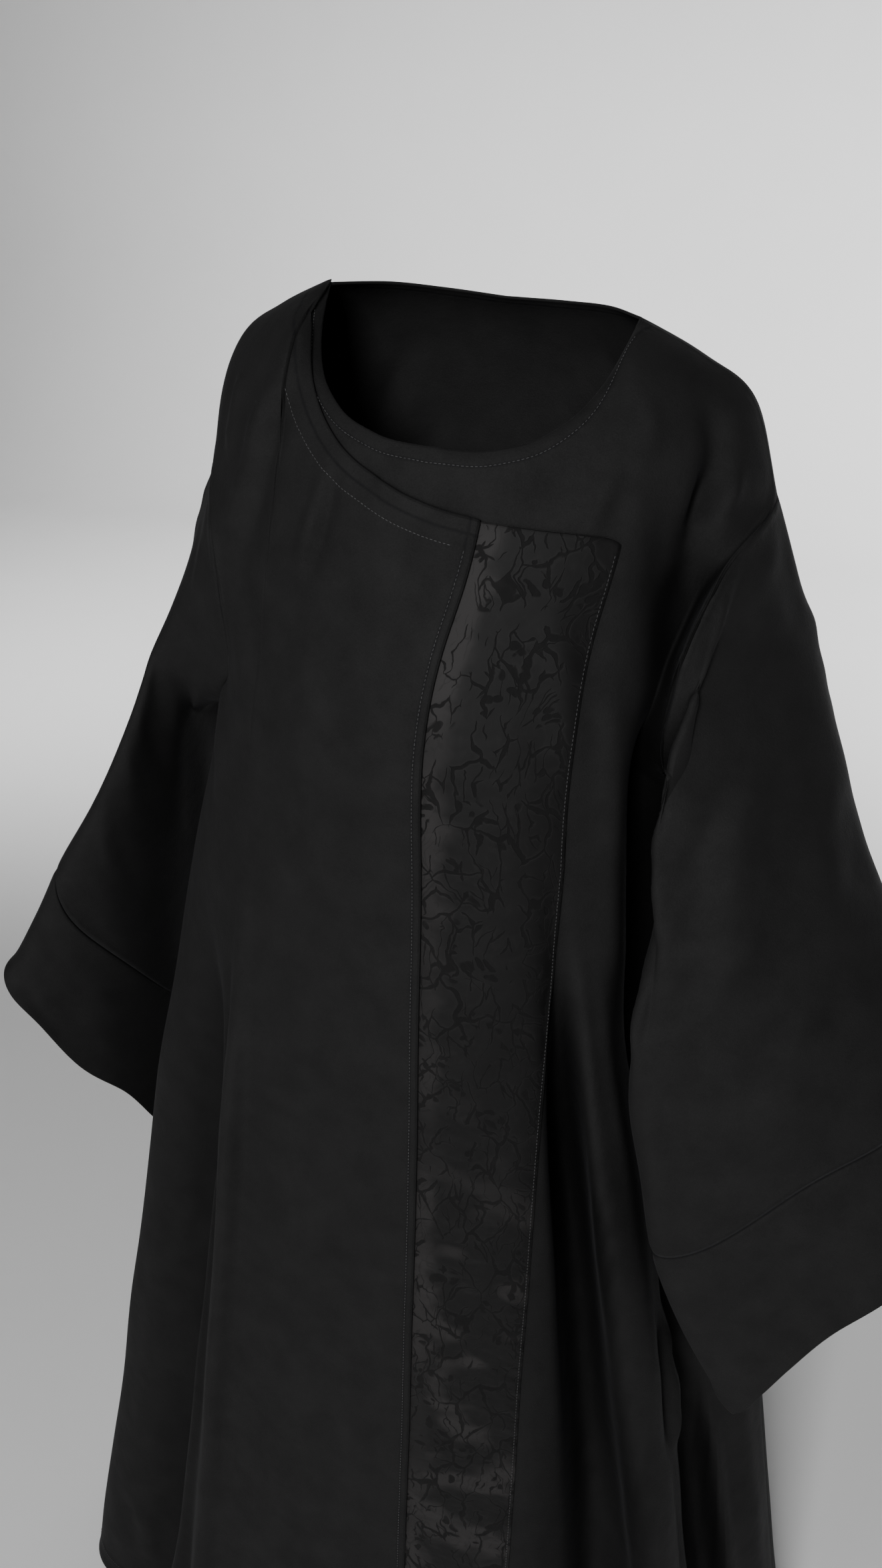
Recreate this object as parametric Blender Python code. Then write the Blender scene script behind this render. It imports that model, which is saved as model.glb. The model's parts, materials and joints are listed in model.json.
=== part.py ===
"""A loose, long black abaya in its worn, hollow form.

Front faces -Y, the wearer's left is +X, up is +Z. The origin is the middle of the line between the
two points where the shoulder seams meet the neckline, where the garment is held. Each piece that is
cut and sewn on is one closed wall of cloth, 0.3 mm clear of its neighbours at the seams.
"""
import math

import bmesh
import bpy
import numpy as np

# ---------------------------------------------------------------- driving sizes, metres
LENGTH = 1.42                # high shoulder point down to the hem
WALL = 0.002                 # thickness of the crepe pieces
BAND_WALL = 0.0014           # thickness of the jacquard band
SEAM_GAP = 0.0002            # each piece stops this far short of a seam line
LAYER_GAP = 0.00035          # clear space between two layers that lie on each other
OVERLAP_INSET = 0.005        # the upper front stops this far short of the armhole
SHOULDER_SLANT = 0.075       # the left shoulder is lower: drop for each metre towards the left
NECK_WIDTH = 0.115           # from the middle to each end of the neckline
NECK_SHIFT = 0.005           # the neckline sits this far towards the left
SHOULDER_SHIFT = 0.010       # and the shoulders this much further
ARMHOLE_ROWS = 7             # rows of faces beside the armhole
ROWS = 24                    # rows of faces from the top edge to the hem
ROW_GROWTH = 0.8             # larger makes the rows near the hem taller

# Angles in degrees along the top edge of the body, from the middle (0) to the side (90).
NECK_END = 35.0              # neckline from 0, shoulder seam from here to the armhole at 90
EDGE_LINE = 12.0             # line of faces that runs down the free edge of the upper front

# Columns of faces in each stretch of the top edge.
SHOULDER_COLUMNS = 10
RIGHT_NECK_COLUMNS = 8       # neck end on the right to the free edge
BAND_COLUMNS = 3             # free edge to the outer edge of the band
BACK_NECK_COLUMNS = 10
BAND_TUCK_COLUMNS = 1        # the band runs on under the upper front by this much

SLEEVE_ROWS = 10
CUFF_ROWS = 3
SLEEVE_GAP = 0.0003          # a sleeve and a cuff stop this far short of a seam
SLEEVE_END = 1.0             # the run along the sleeve: 0 armhole, 1 cuff seam
CUFF_END = 1.4               # and this at the hem of the cuff
ARMHOLE_FADE = 0.45          # run over which the armhole's shape fades into the sleeve's own


def table(columns, *rows):
    """A short table with named columns, each an array."""
    return dict(zip(columns.split(), np.array(rows, float).T))


# The body as it hangs: half widths to the wearer's right and left, depths in front and behind.
BODY = table(
    "drop   right  left   front  back",
    (0.000, 0.194, 0.203, 0.100, 0.098),
    (0.085, 0.199, 0.208, 0.119, 0.112),
    (0.130, 0.204, 0.211, 0.131, 0.118),
    (0.180, 0.206, 0.205, 0.143, 0.122),
    (0.260, 0.208, 0.203, 0.163, 0.124),
    (0.350, 0.219, 0.209, 0.171, 0.122),
    (0.450, 0.248, 0.218, 0.176, 0.124),
    (0.650, 0.289, 0.252, 0.192, 0.142),
    (0.850, 0.328, 0.284, 0.215, 0.168),
    (1.080, 0.370, 0.320, 0.246, 0.200),
    (1.420, 0.443, 0.374, 0.292, 0.246))

# Where the top edge of the body runs, and the height over which each line of cloth rolls over it.
FRONT_NECK = table(
    "angle x      y       z       roll",
    (0,    0.000, -0.115, -0.083, 0.060),
    (12,   0.042, -0.109, -0.080, 0.060),
    (20,   0.073, -0.094, -0.069, 0.062),
    (27,   0.097, -0.065, -0.047, 0.068),
    (31,   0.108, -0.036, -0.026, 0.076),
    (35,   0.115,  0.000,  0.000, 0.085))
BACK_NECK = table(
    "angle x      y       z       roll",
    (0,    0.000,  0.068, -0.004, 0.085),
    (14,   0.050,  0.063, -0.002, 0.085),
    (25,   0.086,  0.042,  0.000, 0.085),
    (35,   0.115,  0.000,  0.000, 0.085))
SHOULDER = table(
    "angle x      y       z       roll",
    (35,   0.115,  0.000,  0.000, 0.085),
    (55,   0.157,  0.003, -0.020, 0.085),
    (74,   0.193,  0.003, -0.047, 0.075),
    (90,   0.212,  0.000, -0.108, 0.062))

# The armhole cuts into the body: at a drop, the body's section ends at this angle, and its edge there
# stands this far off the plain section. The lines of cloth between it and the neckline close up.
FRONT_ARMHOLE = table(
    "drop   section off_x   off_y",
    (0.108, 90,      0.002,  0.000),
    (0.130, 71,      0.001, -0.007),
    (0.168, 62,      0.000, -0.019),
    (0.226, 57,     -0.002, -0.014),
    (0.302, 62,     -0.008,  0.000),
    (0.332, 74,     -0.006,  0.000),
    (0.352, 90,     -0.004,  0.000))
BACK_ARMHOLE = table(
    "drop   section off_x   off_y",
    (0.108, 90,      0.002,  0.000),
    (0.134, 71,      0.001,  0.007),
    (0.180, 63,      0.000,  0.012),
    (0.240, 61,     -0.002,  0.008),
    (0.310, 66,     -0.006,  0.002),
    (0.352, 90,     -0.004,  0.000))
ARMHOLE_SPREAD = 2.5         # larger keeps the armhole's own shape nearer to the armhole
UNDERARM_DROP = 0.352
SHOULDER_SHIFT_FADE = 0.20   # height above the underarm over which the shoulder's shift fades

# The free edge of the upper front and the outer edge of the jacquard band, going down.
FRONT_LINES = table(
    "drop   edge   band",
    (0.000, 0.042, 0.116),
    (0.128, 0.043, 0.137),
    (0.170, 0.036, 0.129),
    (0.210, 0.024, 0.121),
    (0.260, 0.016, 0.117),
    (0.400, 0.014, 0.113),
    (0.650, 0.015, 0.108),
    (1.000, 0.017, 0.106),
    (1.420, 0.020, 0.106))
BAND_TOP_RIGHT = 0.127       # drop of the band's top edge at the free edge
BAND_TOP_LEFT = 0.138        # and at the band's outer corner

# The upper edge of the upper front, from the shoulder to its corner.
UPPER_EDGE = table(
    "angle drop",
    (-35, 0.000),
    (-31, 0.030),
    (-26, 0.058),
    (-20, 0.081),
    (-9,  0.104),
    (5,   0.121),
    (12,  0.126))

# Large folds. start and end are drops; a fold grows from its start. Heights are outward.
FOLDS = table(
    "front start  end   angle_start angle_end wide_start wide_end height_start height_end",
    # front: the long ridge on the wearer's right, its valley, and the ridge at the side
    (1, 0.330, 1.42, -38, -38,   6.0,  6.5,   0.004,  0.024),
    (1, 0.400, 1.42, -50, -49,   7.0,  6.5,  -0.004, -0.030),
    (1, 0.450, 1.42, -67, -64,   8.0,  8.0,   0.004,  0.022),
    # front: deep valley beside the band, the tubular fold, then the folds below the sleeve
    (1, 0.420, 1.42,  34,  34,   5.0,  9.0,  -0.006, -0.052),
    (1, 0.420, 1.42,  43,  51,   6.5,  7.0,   0.006,  0.040),
    (1, 0.600, 1.42,  60,  62,   6.0,  5.0,  -0.006, -0.028),
    (1, 0.700, 1.42,  72,  73,   7.0,  6.5,   0.004,  0.026),
    (1, 0.260, 0.95,  64,  62,   9.0,  9.0,  -0.056, -0.024),
    # back
    (0, 0.350, 1.42,   3,   4,   8.0,  7.5,  -0.004, -0.030),
    (0, 0.420, 1.42,  22,  23,   7.0,  7.0,   0.004,  0.030),
    (0, 0.500, 1.42,  39,  40,   7.0,  6.5,  -0.003, -0.026),
    (0, 0.450, 1.42,  57,  57,   7.0,  6.5,   0.003,  0.026),
    (0, 0.600, 1.42,  73,  72,   6.0,  6.0,  -0.002, -0.018),
    (0, 0.380, 1.42, -16, -18,   7.0,  7.0,   0.004,  0.028),
    (0, 0.480, 1.42, -34, -35,   7.0,  6.5,  -0.003, -0.028),
    (0, 0.520, 1.42, -51, -52,   7.0,  6.5,   0.003,  0.028),
    (0, 0.560, 1.42, -69, -68,   6.5,  6.5,  -0.002, -0.020))

# Sleeves with their cuffs, by the run along them: the outer line on the arm, the inner line that
# hangs, how far the front and the back wall stand from the line between them, and how far the front
# leans in and rises for each metre that it stands out.
LEFT_SLEEVE = table(
    "run   outer_x outer_y outer_z inner_x inner_y inner_z front  back   lean  rise",
    (0.00, 0.212,  0.000, -0.108,  0.205,  0.000, -0.352, 0.094, 0.080, 0.00, 0.00),
    (0.06, 0.224, -0.001, -0.136,  0.242, -0.004, -0.360, 0.097, 0.080, 0.06, 0.00),
    (0.12, 0.236, -0.003, -0.165,  0.252, -0.022, -0.376, 0.099, 0.078, 0.32, 0.00),
    (0.25, 0.263, -0.006, -0.222,  0.222, -0.082, -0.412, 0.090, 0.074, 0.62, 0.00),
    (0.40, 0.289, -0.012, -0.285,  0.188, -0.136, -0.456, 0.074, 0.070, 0.60, 0.02),
    (0.60, 0.323, -0.024, -0.370,  0.172, -0.166, -0.530, 0.060, 0.068, 0.30, 0.05),
    (0.80, 0.366, -0.036, -0.450,  0.186, -0.177, -0.610, 0.054, 0.068, 0.08, 0.10),
    (1.00, 0.412, -0.050, -0.542,  0.204, -0.178, -0.692, 0.052, 0.066, 0.00, 0.12),
    (1.20, 0.438, -0.056, -0.585,  0.236, -0.172, -0.780, 0.052, 0.064, 0.00, 0.20),
    (1.40, 0.466, -0.062, -0.635,  0.280, -0.158, -0.866, 0.055, 0.060, 0.00, 0.30))
RIGHT_SLEEVE = table(
    "run   outer_x outer_y outer_z inner_x inner_y inner_z front  back   lean  rise",
    (0.00, 0.212,  0.000, -0.108,  0.205,  0.000, -0.352, 0.094, 0.080, 0.00, 0.00),
    (0.06, 0.219, -0.001, -0.132,  0.234,  0.000, -0.358, 0.090, 0.080, 0.00, 0.00),
    (0.12, 0.226, -0.003, -0.158,  0.250,  0.010, -0.374, 0.086, 0.078, 0.00, 0.05),
    (0.25, 0.238, -0.005, -0.215,  0.260,  0.034, -0.392, 0.082, 0.075, 0.00, 0.12),
    (0.40, 0.259, -0.010, -0.280,  0.284,  0.054, -0.465, 0.080, 0.073, 0.00, 0.20),
    (0.60, 0.297, -0.016, -0.365,  0.309,  0.070, -0.565, 0.080, 0.073, 0.00, 0.30),
    (0.80, 0.340, -0.022, -0.440,  0.330,  0.080, -0.661, 0.080, 0.074, 0.00, 0.38),
    (1.00, 0.382, -0.028, -0.506,  0.348,  0.086, -0.746, 0.080, 0.075, 0.00, 0.44),
    (1.20, 0.418, -0.036, -0.566,  0.367,  0.090, -0.848, 0.078, 0.073, 0.00, 0.46),
    (1.40, 0.453, -0.044, -0.624,  0.384,  0.092, -0.953, 0.074, 0.070, 0.00, 0.48))
HANG_TAPER = 0.35            # the walls of a sleeve close in towards the hanging line

CREPE = ("black_crepe", (0.011, 0.011, 0.012), 0.72)
JACQUARD = ("jacquard_satin", (0.022, 0.019, 0.019), 0.42)


# ---------------------------------------------------------------- reading the tables
def smooth(stations, values, at):
    """A smooth curve through the rows of a table, read at many places at once."""
    slope = np.gradient(values, stations)
    i = np.clip(np.searchsorted(stations, at) - 1, 0, len(stations) - 2)
    step = stations[i + 1] - stations[i]
    f = np.clip((at - stations[i]) / step, 0.0, 1.0)
    start = (1 + 2 * f) * (1 - f) ** 2 * values[i] + f * (1 - f) ** 2 * step * slope[i]
    end = f * f * (3 - 2 * f) * values[i + 1] + f * f * (f - 1) * step * slope[i + 1]
    return start + end


def read(rows, column, at):
    return smooth(next(iter(rows.values())), rows[column], at)


def ease(f):
    """0 to 1 with level ends."""
    f = np.clip(f, 0.0, 1.0)
    return f * f * (3 - 2 * f)


# ---------------------------------------------------------------- the body's surface
def side_lower(top_angle):
    """How much lower than the tables say the shoulder and the armhole are on this side."""
    shift = top_shift(SHOULDER["x"][-1], SHOULDER["z"][-1])
    return SHOULDER_SLANT * (np.sign(top_angle) * SHOULDER["x"][-1] + shift)


def beside_armhole(column, drop, front):
    """A column of the armhole's table by drop."""
    rows = FRONT_ARMHOLE if front else BACK_ARMHOLE
    return smooth(rows["drop"], rows[column], np.clip(drop, rows["drop"][0], rows["drop"][-1]))


def nearness(top_angle):
    """How near a line of cloth is to the side: 0 at the end of the neckline, 1 at the armhole."""
    return np.clip((np.abs(top_angle) - NECK_END) / (90 - NECK_END), 0.0, 1.0)


def column_angle(top_angle, drop, front):
    """The angle that a line of cloth has at a drop, from its angle at the top edge."""
    if front:
        width = np.maximum(read(BODY, "left", drop), 0.01)
        edge = np.degrees(np.arcsin(read(FRONT_LINES, "edge", drop) / width))
        band = np.degrees(np.arcsin(read(FRONT_LINES, "band", drop) / width))
        right = -90 + (top_angle + 90) / (EDGE_LINE + 90) * (edge + 90)
        right_neck = 90 - (90 - NECK_END) / (EDGE_LINE + 90) * (edge + 90)
        middle = edge + (top_angle - EDGE_LINE) / (NECK_END - EDGE_LINE) * (band - edge)
        angle = np.where(top_angle < EDGE_LINE, right, middle)
        neck = np.where(top_angle < 0, right_neck, band)
    else:
        angle = top_angle
        neck = np.full_like(drop, NECK_END)
    limit = beside_armhole("section", drop - side_lower(top_angle), front)
    outer = neck + (limit - neck) * nearness(top_angle)
    return np.where(np.abs(top_angle) > NECK_END, np.sign(top_angle) * outer, angle)


def fold_height(angle, drop, front):
    """How far the large folds lift the cloth off the plain section."""
    total = np.zeros_like(drop)
    for row in zip(*FOLDS.values()):
        on_front, start, end, angle_start, angle_end, wide_start, wide_end, low, high = row
        if bool(on_front) != front:
            continue
        f = np.clip((drop - start) / (end - start), 0.0, 1.0)
        grown = ease((drop - start) / 0.22) * (low + (high - low) * f)
        if end < LENGTH:
            grown = grown * ease((end - drop) / 0.35)
        centre = angle_start + (angle_end - angle_start) * f
        wide = wide_start + (wide_end - wide_start) * f
        total += grown * np.exp(-((angle - centre) / wide) ** 2)
    return total


def drape(angle, drop, front):
    """The hanging cloth as a section at each drop: x and y."""
    turn = np.radians(angle)
    width = np.where(angle < 0, read(BODY, "right", drop), read(BODY, "left", drop))
    depth = read(BODY, "front" if front else "back", drop)
    lift = fold_height(angle, drop, front)
    toward = -1.0 if front else 1.0
    return (width + lift) * np.sin(turn), toward * (depth + lift) * np.cos(turn)


def section(top_angle, drop, front):
    """The body's section with the armhole's own shape in it."""
    x, y = drape(column_angle(top_angle, drop, front), drop, front)
    side_drop = drop - side_lower(top_angle)
    near = nearness(top_angle) ** ARMHOLE_SPREAD * (1 - ease((side_drop - UNDERARM_DROP) / ARMHOLE_FADE))
    off_x = np.sign(top_angle) * beside_armhole("off_x", side_drop, front)
    off_x = off_x + np.where(top_angle > 0, top_shift(np.abs(x), -side_drop), 0.0)
    return x + near * off_x, y + near * beside_armhole("off_y", side_drop, front)


def top_shift(across, z):
    """The neck and the shoulders sit a little towards the left."""
    fade = np.clip((UNDERARM_DROP + z) / SHOULDER_SHIFT_FADE, 0, 1)
    return NECK_SHIFT + SHOULDER_SHIFT * np.clip((across - NECK_WIDTH) / NECK_WIDTH, 0, 1) * fade


def top_edge(top_angle, front):
    """The point of the top edge at an angle, and the height over which the cloth rolls over it."""
    size = np.abs(top_angle)
    neck = FRONT_NECK if front else BACK_NECK
    x, y, z, roll = (np.where(size <= NECK_END, read(neck, column, size), read(SHOULDER, column, size))
                     for column in ("x", "y", "z", "roll"))
    x = np.sign(top_angle) * x + top_shift(x, z)
    return x, y, z - SHOULDER_SLANT * x, roll


def hem_drop(angle, front):
    """The hem dips a little at the front."""
    return LENGTH + (0.012 if front else 0.0) * np.cos(np.radians(angle)) ** 2 - (0 if front else 0.004)


def underarm_level(top_angle):
    """The drop of the row of faces that ends at the underarm."""
    return UNDERARM_DROP + side_lower(top_angle) * nearness(top_angle)


def body_points(top_angle, down, front):
    """Points of the body's outer surface. down runs from 0 at the top edge to 1 at the hem."""
    x0, y0, z0, roll = top_edge(top_angle, front)
    beside = np.clip(down * ROWS / ARMHOLE_ROWS, 0.0, 1.0)
    below = np.clip((down * ROWS - ARMHOLE_ROWS) / (ROWS - ARMHOLE_ROWS), 0.0, 1.0)
    level = underarm_level(top_angle)
    drop = -z0 + (level + z0) * (1 - np.cos(math.pi * beside)) / 2
    drop = drop + (hem_drop(top_angle, front) - level) * (below + ROW_GROWTH * below ** 2) / (1 + ROW_GROWTH)
    start_x, start_y = section(top_angle, -z0, front)
    x, y = section(top_angle, drop, front)
    left = 1 - np.clip((drop + z0) / roll, 0.0, 1.0)
    stay = 1 - np.sqrt(np.maximum(1 - left * left, 0.0))
    return np.stack([x + (x0 - start_x) * stay, y + (y0 - start_y) * stay, -drop], -1)


def down_at_drop(top_angle, drop, front):
    """The down value that reaches a drop on a line of cloth, above the underarm."""
    z0 = top_edge(top_angle, front)[2]
    share = np.clip((drop + z0) / (underarm_level(top_angle) + z0), 0.0, 1.0)
    return np.arccos(1 - 2 * share) / math.pi * ARMHOLE_ROWS / ROWS


# ---------------------------------------------------------------- the sleeves' surface
def armhole_ring(turn, mirror):
    """The armhole as a ring: turn 0 at the shoulder, 0.5 at the underarm, round by the front."""
    side = np.full_like(turn, mirror * 90.0)
    down = (1 - np.abs(1 - 2 * turn)) * ARMHOLE_ROWS / ROWS
    ahead, behind = body_points(side, down, True), body_points(side, down, False)
    return np.where((turn <= 0.5)[..., None], ahead, behind)


def sleeve_loop(rows, run, turn):
    """The sleeve's own section: a loop that hangs between its outer and its inner line."""
    outer = np.stack([read(rows, "outer_" + axis, run) for axis in "xyz"], -1)
    inner = np.stack([read(rows, "inner_" + axis, run) for axis in "xyz"], -1)
    round_angle = 2 * math.pi * turn
    along = np.cos(round_angle)[..., None]
    across = np.sin(round_angle)
    depth = np.where(across > 0, read(rows, "front", run), read(rows, "back", run))
    reach = depth * across * (1 + HANG_TAPER * along[..., 0])
    lean = np.where(across > 0, read(rows, "lean", run), 0.0)
    side = np.stack([-lean, np.full_like(run, -1.0), read(rows, "rise", run)], -1)
    return (outer + inner) / 2 + (outer - inner) / 2 * along + side * reach[..., None]


def sleeve_hang(rows, run, turn, mirror):
    """That section on its own side, with the shift and the slant of the shoulders in it."""
    points = sleeve_loop(rows, run, turn)
    points[..., 0] *= mirror
    stay = 1 - ease(run)
    points[..., 0] += stay * top_shift(np.abs(points[..., 0]), points[..., 2])
    points[..., 2] -= SHOULDER_SLANT * points[..., 0] * stay
    return points


def sleeve_points(rows, run, turn, mirror):
    """Points of a sleeve's outer surface, from the armhole to the hem of its cuff."""
    lift = armhole_ring(turn, mirror) - sleeve_hang(rows, np.zeros_like(run), turn, mirror)
    return sleeve_hang(rows, run, turn, mirror) + lift * (1 - ease(run / ARMHOLE_FADE))[..., None]


# ---------------------------------------------------------------- walls of cloth
def unit(vectors):
    return vectors / np.maximum(np.linalg.norm(vectors, axis=-1, keepdims=True), 1e-12)


def surface_normals(points, wraps):
    """Normals at a grid's points, from the faces round each, by their area."""
    if wraps:
        points = np.concatenate([points, points[:, :1]], 1)
    faces = np.cross(points[1:, :-1] - points[:-1, 1:], points[1:, 1:] - points[:-1, :-1])
    normals = np.zeros_like(points)
    for rows in (slice(None, -1), slice(1, None)):
        for columns in (slice(None, -1), slice(1, None)):
            normals[rows, columns] += faces
    if wraps:
        normals[:, 0] += normals[:, -1]
        normals = normals[:, :-1]
    return unit(normals)


def sheet_mesh(name, points, normals, levels, low, high, wraps=False):
    """A closed wall between two layers of a grid, low and high above its surface.

    levels says how far down its column each point lies. Points that share a column and a level are
    one point, so a row can be pulled down to a slanting edge, and its squeezed faces vanish.
    """
    rows, columns = levels.shape
    index, places = {}, []
    lookup = np.zeros(levels.shape, int)
    for row in range(rows):
        for column in range(columns):
            key = (column, round(float(levels[row, column]), 7))
            if key not in index:
                index[key] = len(places)
                places.append((row, column))
            lookup[row, column] = index[key]
    upper = []
    for row in range(rows - 1):
        for column in range(columns if wraps else columns - 1):
            beside = (column + 1) % columns
            a, b = lookup[row, column], lookup[row, beside]
            c, d = lookup[row + 1, beside], lookup[row + 1, column]
            upper += [face for face in ((a, d, c), (a, c, b)) if len(set(face)) == 3]
    edges = {}
    for face in upper:
        for i in range(3):
            edges[(face[i], face[(i + 1) % 3])] = True
    rims = [edge for edge in edges if (edge[1], edge[0]) not in edges]
    mesh = bmesh.new()
    layers = []
    for height in (high, low):
        layers.append([mesh.verts.new(points[r, c] + normals[r, c] * (
            height[r, c] if isinstance(height, np.ndarray) else height)) for r, c in places])
    top, under = layers
    for a, b, c in upper:
        mesh.faces.new((top[a], top[b], top[c]))
        mesh.faces.new((under[c], under[b], under[a]))
    for a, b in rims:
        mesh.faces.new((top[b], top[a], under[a]))
        mesh.faces.new((top[b], under[a], under[b]))
    bmesh.ops.recalc_face_normals(mesh, faces=mesh.faces)
    data = bpy.data.meshes.new(name)
    mesh.to_mesh(data)
    mesh.free()
    data.shade_smooth()
    data.set_sharp_from_angle(angle=math.radians(60))
    return bpy.data.objects.new(name, data)


def pull_back(points, normals, side, distance):
    """Moves one edge of a grid into its own surface, away from a seam."""
    edge, inside = {"top": ((0,), (1,)), "bottom": ((-1,), (-2,)),
                    "first": ((slice(None), 0), (slice(None), 1)),
                    "last": ((slice(None), -1), (slice(None), -2))}[side]
    inward = points[inside] - points[edge]
    seam = unit(np.gradient(points[edge].reshape(-1, 3), axis=0)).reshape(inward.shape)
    inward = inward - seam * np.sum(inward * seam, -1, keepdims=True)
    inward = inward - normals[edge] * np.sum(inward * normals[edge], -1, keepdims=True)
    points[edge] += unit(inward) * distance


def steps(*runs):
    """Even steps through several stretches: (start, end, number)."""
    values = [np.linspace(start, end, number + 1)[:-1] for start, end, number in runs]
    return np.concatenate(values + [[runs[-1][1]]])


def material(name, colour, roughness):
    made = bpy.data.materials.new(name)
    made.use_nodes = True
    shader = made.node_tree.nodes["Principled BSDF"]
    shader.inputs["Base Color"].default_value = (*colour, 1.0)
    shader.inputs["Roughness"].default_value = roughness
    shader.inputs["Metallic"].default_value = 0.0
    return made


# ---------------------------------------------------------------- the pieces
FRONT_TOPS = steps((-90, -NECK_END, SHOULDER_COLUMNS), (-NECK_END, EDGE_LINE, RIGHT_NECK_COLUMNS),
                   (EDGE_LINE, NECK_END, BAND_COLUMNS), (NECK_END, 90, SHOULDER_COLUMNS))
BACK_TOPS = steps((-90, -NECK_END, SHOULDER_COLUMNS), (-NECK_END, NECK_END, BACK_NECK_COLUMNS),
                  (NECK_END, 90, SHOULDER_COLUMNS))
EDGE_COLUMN = SHOULDER_COLUMNS + RIGHT_NECK_COLUMNS
BAND_COLUMN = EDGE_COLUMN + BAND_COLUMNS
RING = 4 * ARMHOLE_ROWS      # points round a sleeve: the armhole's own and one between each two


def body_grid(tops, front):
    levels, angles = np.meshgrid(np.linspace(0, 1, ROWS + 1), tops, indexing="ij")
    return body_points(angles, levels, front), levels


def sleeve_grid(rows, start, end, count, mirror):
    runs, turns = np.meshgrid(np.linspace(start, end, count + 1), np.arange(RING) / RING, indexing="ij")
    points = sleeve_points(rows, runs, turns, mirror)
    if start == 0:
        ring = points[0]
        ring[1::2] = (ring[0::2] + np.roll(ring[0::2], -1, 0)) / 2
    return points


def outward(points, normals, centre_x):
    """Turns a grid's normals so that they point away from a line through its middle."""
    middle = points.mean(axis=(0, 1))
    if centre_x is not None:
        middle = np.array([centre_x, 0.0, middle[2]])
    flat = (points - middle)[..., :2]
    return normals if np.sum(flat * normals[..., :2]) > 0 else -normals


def share_normals(pairs):
    """Gives both sides of each seam one common normal, so that their rims face each other."""
    for one, other in pairs:
        common = unit(one + other)
        one[...] = common
        other[...] = common


def armhole_normals(seam, sleeve_normal, into_sleeve, body_normal, into_body):
    """Common normals round an armhole, that point out of the fold also where it is sharp."""
    along = unit(np.roll(seam, -2, 0) - np.roll(seam, 2, 0))
    facing = unit(sleeve_normal) + unit(body_normal)
    mouth = sum(unit(into - along * np.sum(into * along, -1, keepdims=True)) for into in (into_sleeve, into_body))
    common = unit(facing + mouth * np.sign(np.sum(facing * mouth, -1, keepdims=True)))
    common[1::2] = (common[0::2] + np.roll(common[0::2], -1, 0)) / 2
    return common


def make_body_and_sleeves():
    front, front_levels = body_grid(FRONT_TOPS, True)
    back, back_levels = body_grid(BACK_TOPS, False)
    front_normals = outward(front, surface_normals(front, False), 0.0)
    back_normals = outward(back, surface_normals(back, False), 0.0)
    below = slice(ARMHOLE_ROWS + 1, None)
    share_normals([(front_normals[below, side], back_normals[below, side]) for side in (0, -1)])
    for seam in (slice(1, SHOULDER_COLUMNS + 1), slice(-SHOULDER_COLUMNS - 1, -1)):
        share_normals([(front_normals[0, seam], back_normals[0, seam])])
    own_normals = front_normals.copy()

    sleeves = {}
    beside = slice(0, ARMHOLE_ROWS + 1)
    round_front = np.arange(0, RING // 2 + 1, 2)
    round_back = -round_front % RING
    for label, rows, mirror, side in (("left", LEFT_SLEEVE, 1.0, -1), ("right", RIGHT_SLEEVE, -1.0, 0)):
        sleeve = sleeve_grid(rows, 0.0, SLEEVE_END, SLEEVE_ROWS, mirror)
        cuff = sleeve_grid(rows, SLEEVE_END, CUFF_END, CUFF_ROWS, mirror)
        sleeve_normals, cuff_normals = (
            surface_normals(grid, True) * -mirror for grid in (sleeve, cuff))
        share_normals([(sleeve_normals[-1], cuff_normals[0])])
        body_normal, into_body = np.zeros_like(sleeve[0]), np.zeros_like(sleeve[0])
        for points, normals, places in ((front, front_normals, round_front), (back, back_normals, round_back)):
            inner = points[beside, 1 if side == 0 else -2]
            np.add.at(body_normal, places, normals[beside, side])
            np.add.at(into_body, places, inner - points[beside, side])
        into_body[RING // 2] = front[ARMHOLE_ROWS + 1, side] - front[ARMHOLE_ROWS, side]
        common = armhole_normals(sleeve[0], sleeve_normals[0], sleeve[1] - sleeve[0], body_normal, into_body)
        sleeve_normals[0] = common
        front_normals[beside, side] = common[round_front]
        back_normals[beside, side] = common[round_back]
        sleeves[label] = (sleeve, sleeve_normals, cuff, cuff_normals)

    for points, normals in ((front, front_normals), (back, back_normals)):
        for side in ("first", "last"):
            pull_back(points, normals, side, SEAM_GAP)
        neckline = slice(SHOULDER_COLUMNS + 1, -SHOULDER_COLUMNS - 1)
        kept = points[0, neckline].copy()
        pull_back(points, normals, "top", SEAM_GAP)
        points[0, neckline] = kept
    pieces = [(sheet_mesh("front_under", front, front_normals, front_levels, -WALL, 0.0), CREPE),
              (sheet_mesh("back", back, back_normals, back_levels, -WALL, 0.0), CREPE)]
    pieces += make_front_layers(front, own_normals, front_levels)
    for label, (sleeve, sleeve_normals, cuff, cuff_normals) in sleeves.items():
        pull_back(sleeve, sleeve_normals, "top", SLEEVE_GAP)
        pull_back(sleeve, sleeve_normals, "bottom", SLEEVE_GAP)
        pull_back(cuff, cuff_normals, "top", SLEEVE_GAP)
        for name, points, normals in (("sleeve_" + label, sleeve, sleeve_normals),
                                      ("cuff_" + label, cuff, cuff_normals)):
            levels = np.repeat(np.arange(len(points))[:, None], points.shape[1], 1)
            pieces.append((sheet_mesh(name, points, normals, levels, -WALL, 0.0, wraps=True), CREPE))
    return pieces


def slide(points, normals, levels, starts, columns):
    """Takes some columns of a grid, with the rows above a starting level pulled down to it."""
    points, normals, levels = (grid[:, columns].copy() for grid in (points, normals, levels))
    moved = np.maximum(levels, starts[None, columns])
    rows = len(levels) - 1
    place = moved * rows
    low = np.clip(np.floor(place).astype(int), 0, rows - 1)
    f = (place - low)[..., None]
    column = np.arange(points.shape[1])[None, :]
    points = points[low, column] * (1 - f) + points[low + 1, column] * f
    normals = normals[low, column] * (1 - f) + normals[low + 1, column] * f
    return points, unit(normals), moved


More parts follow.
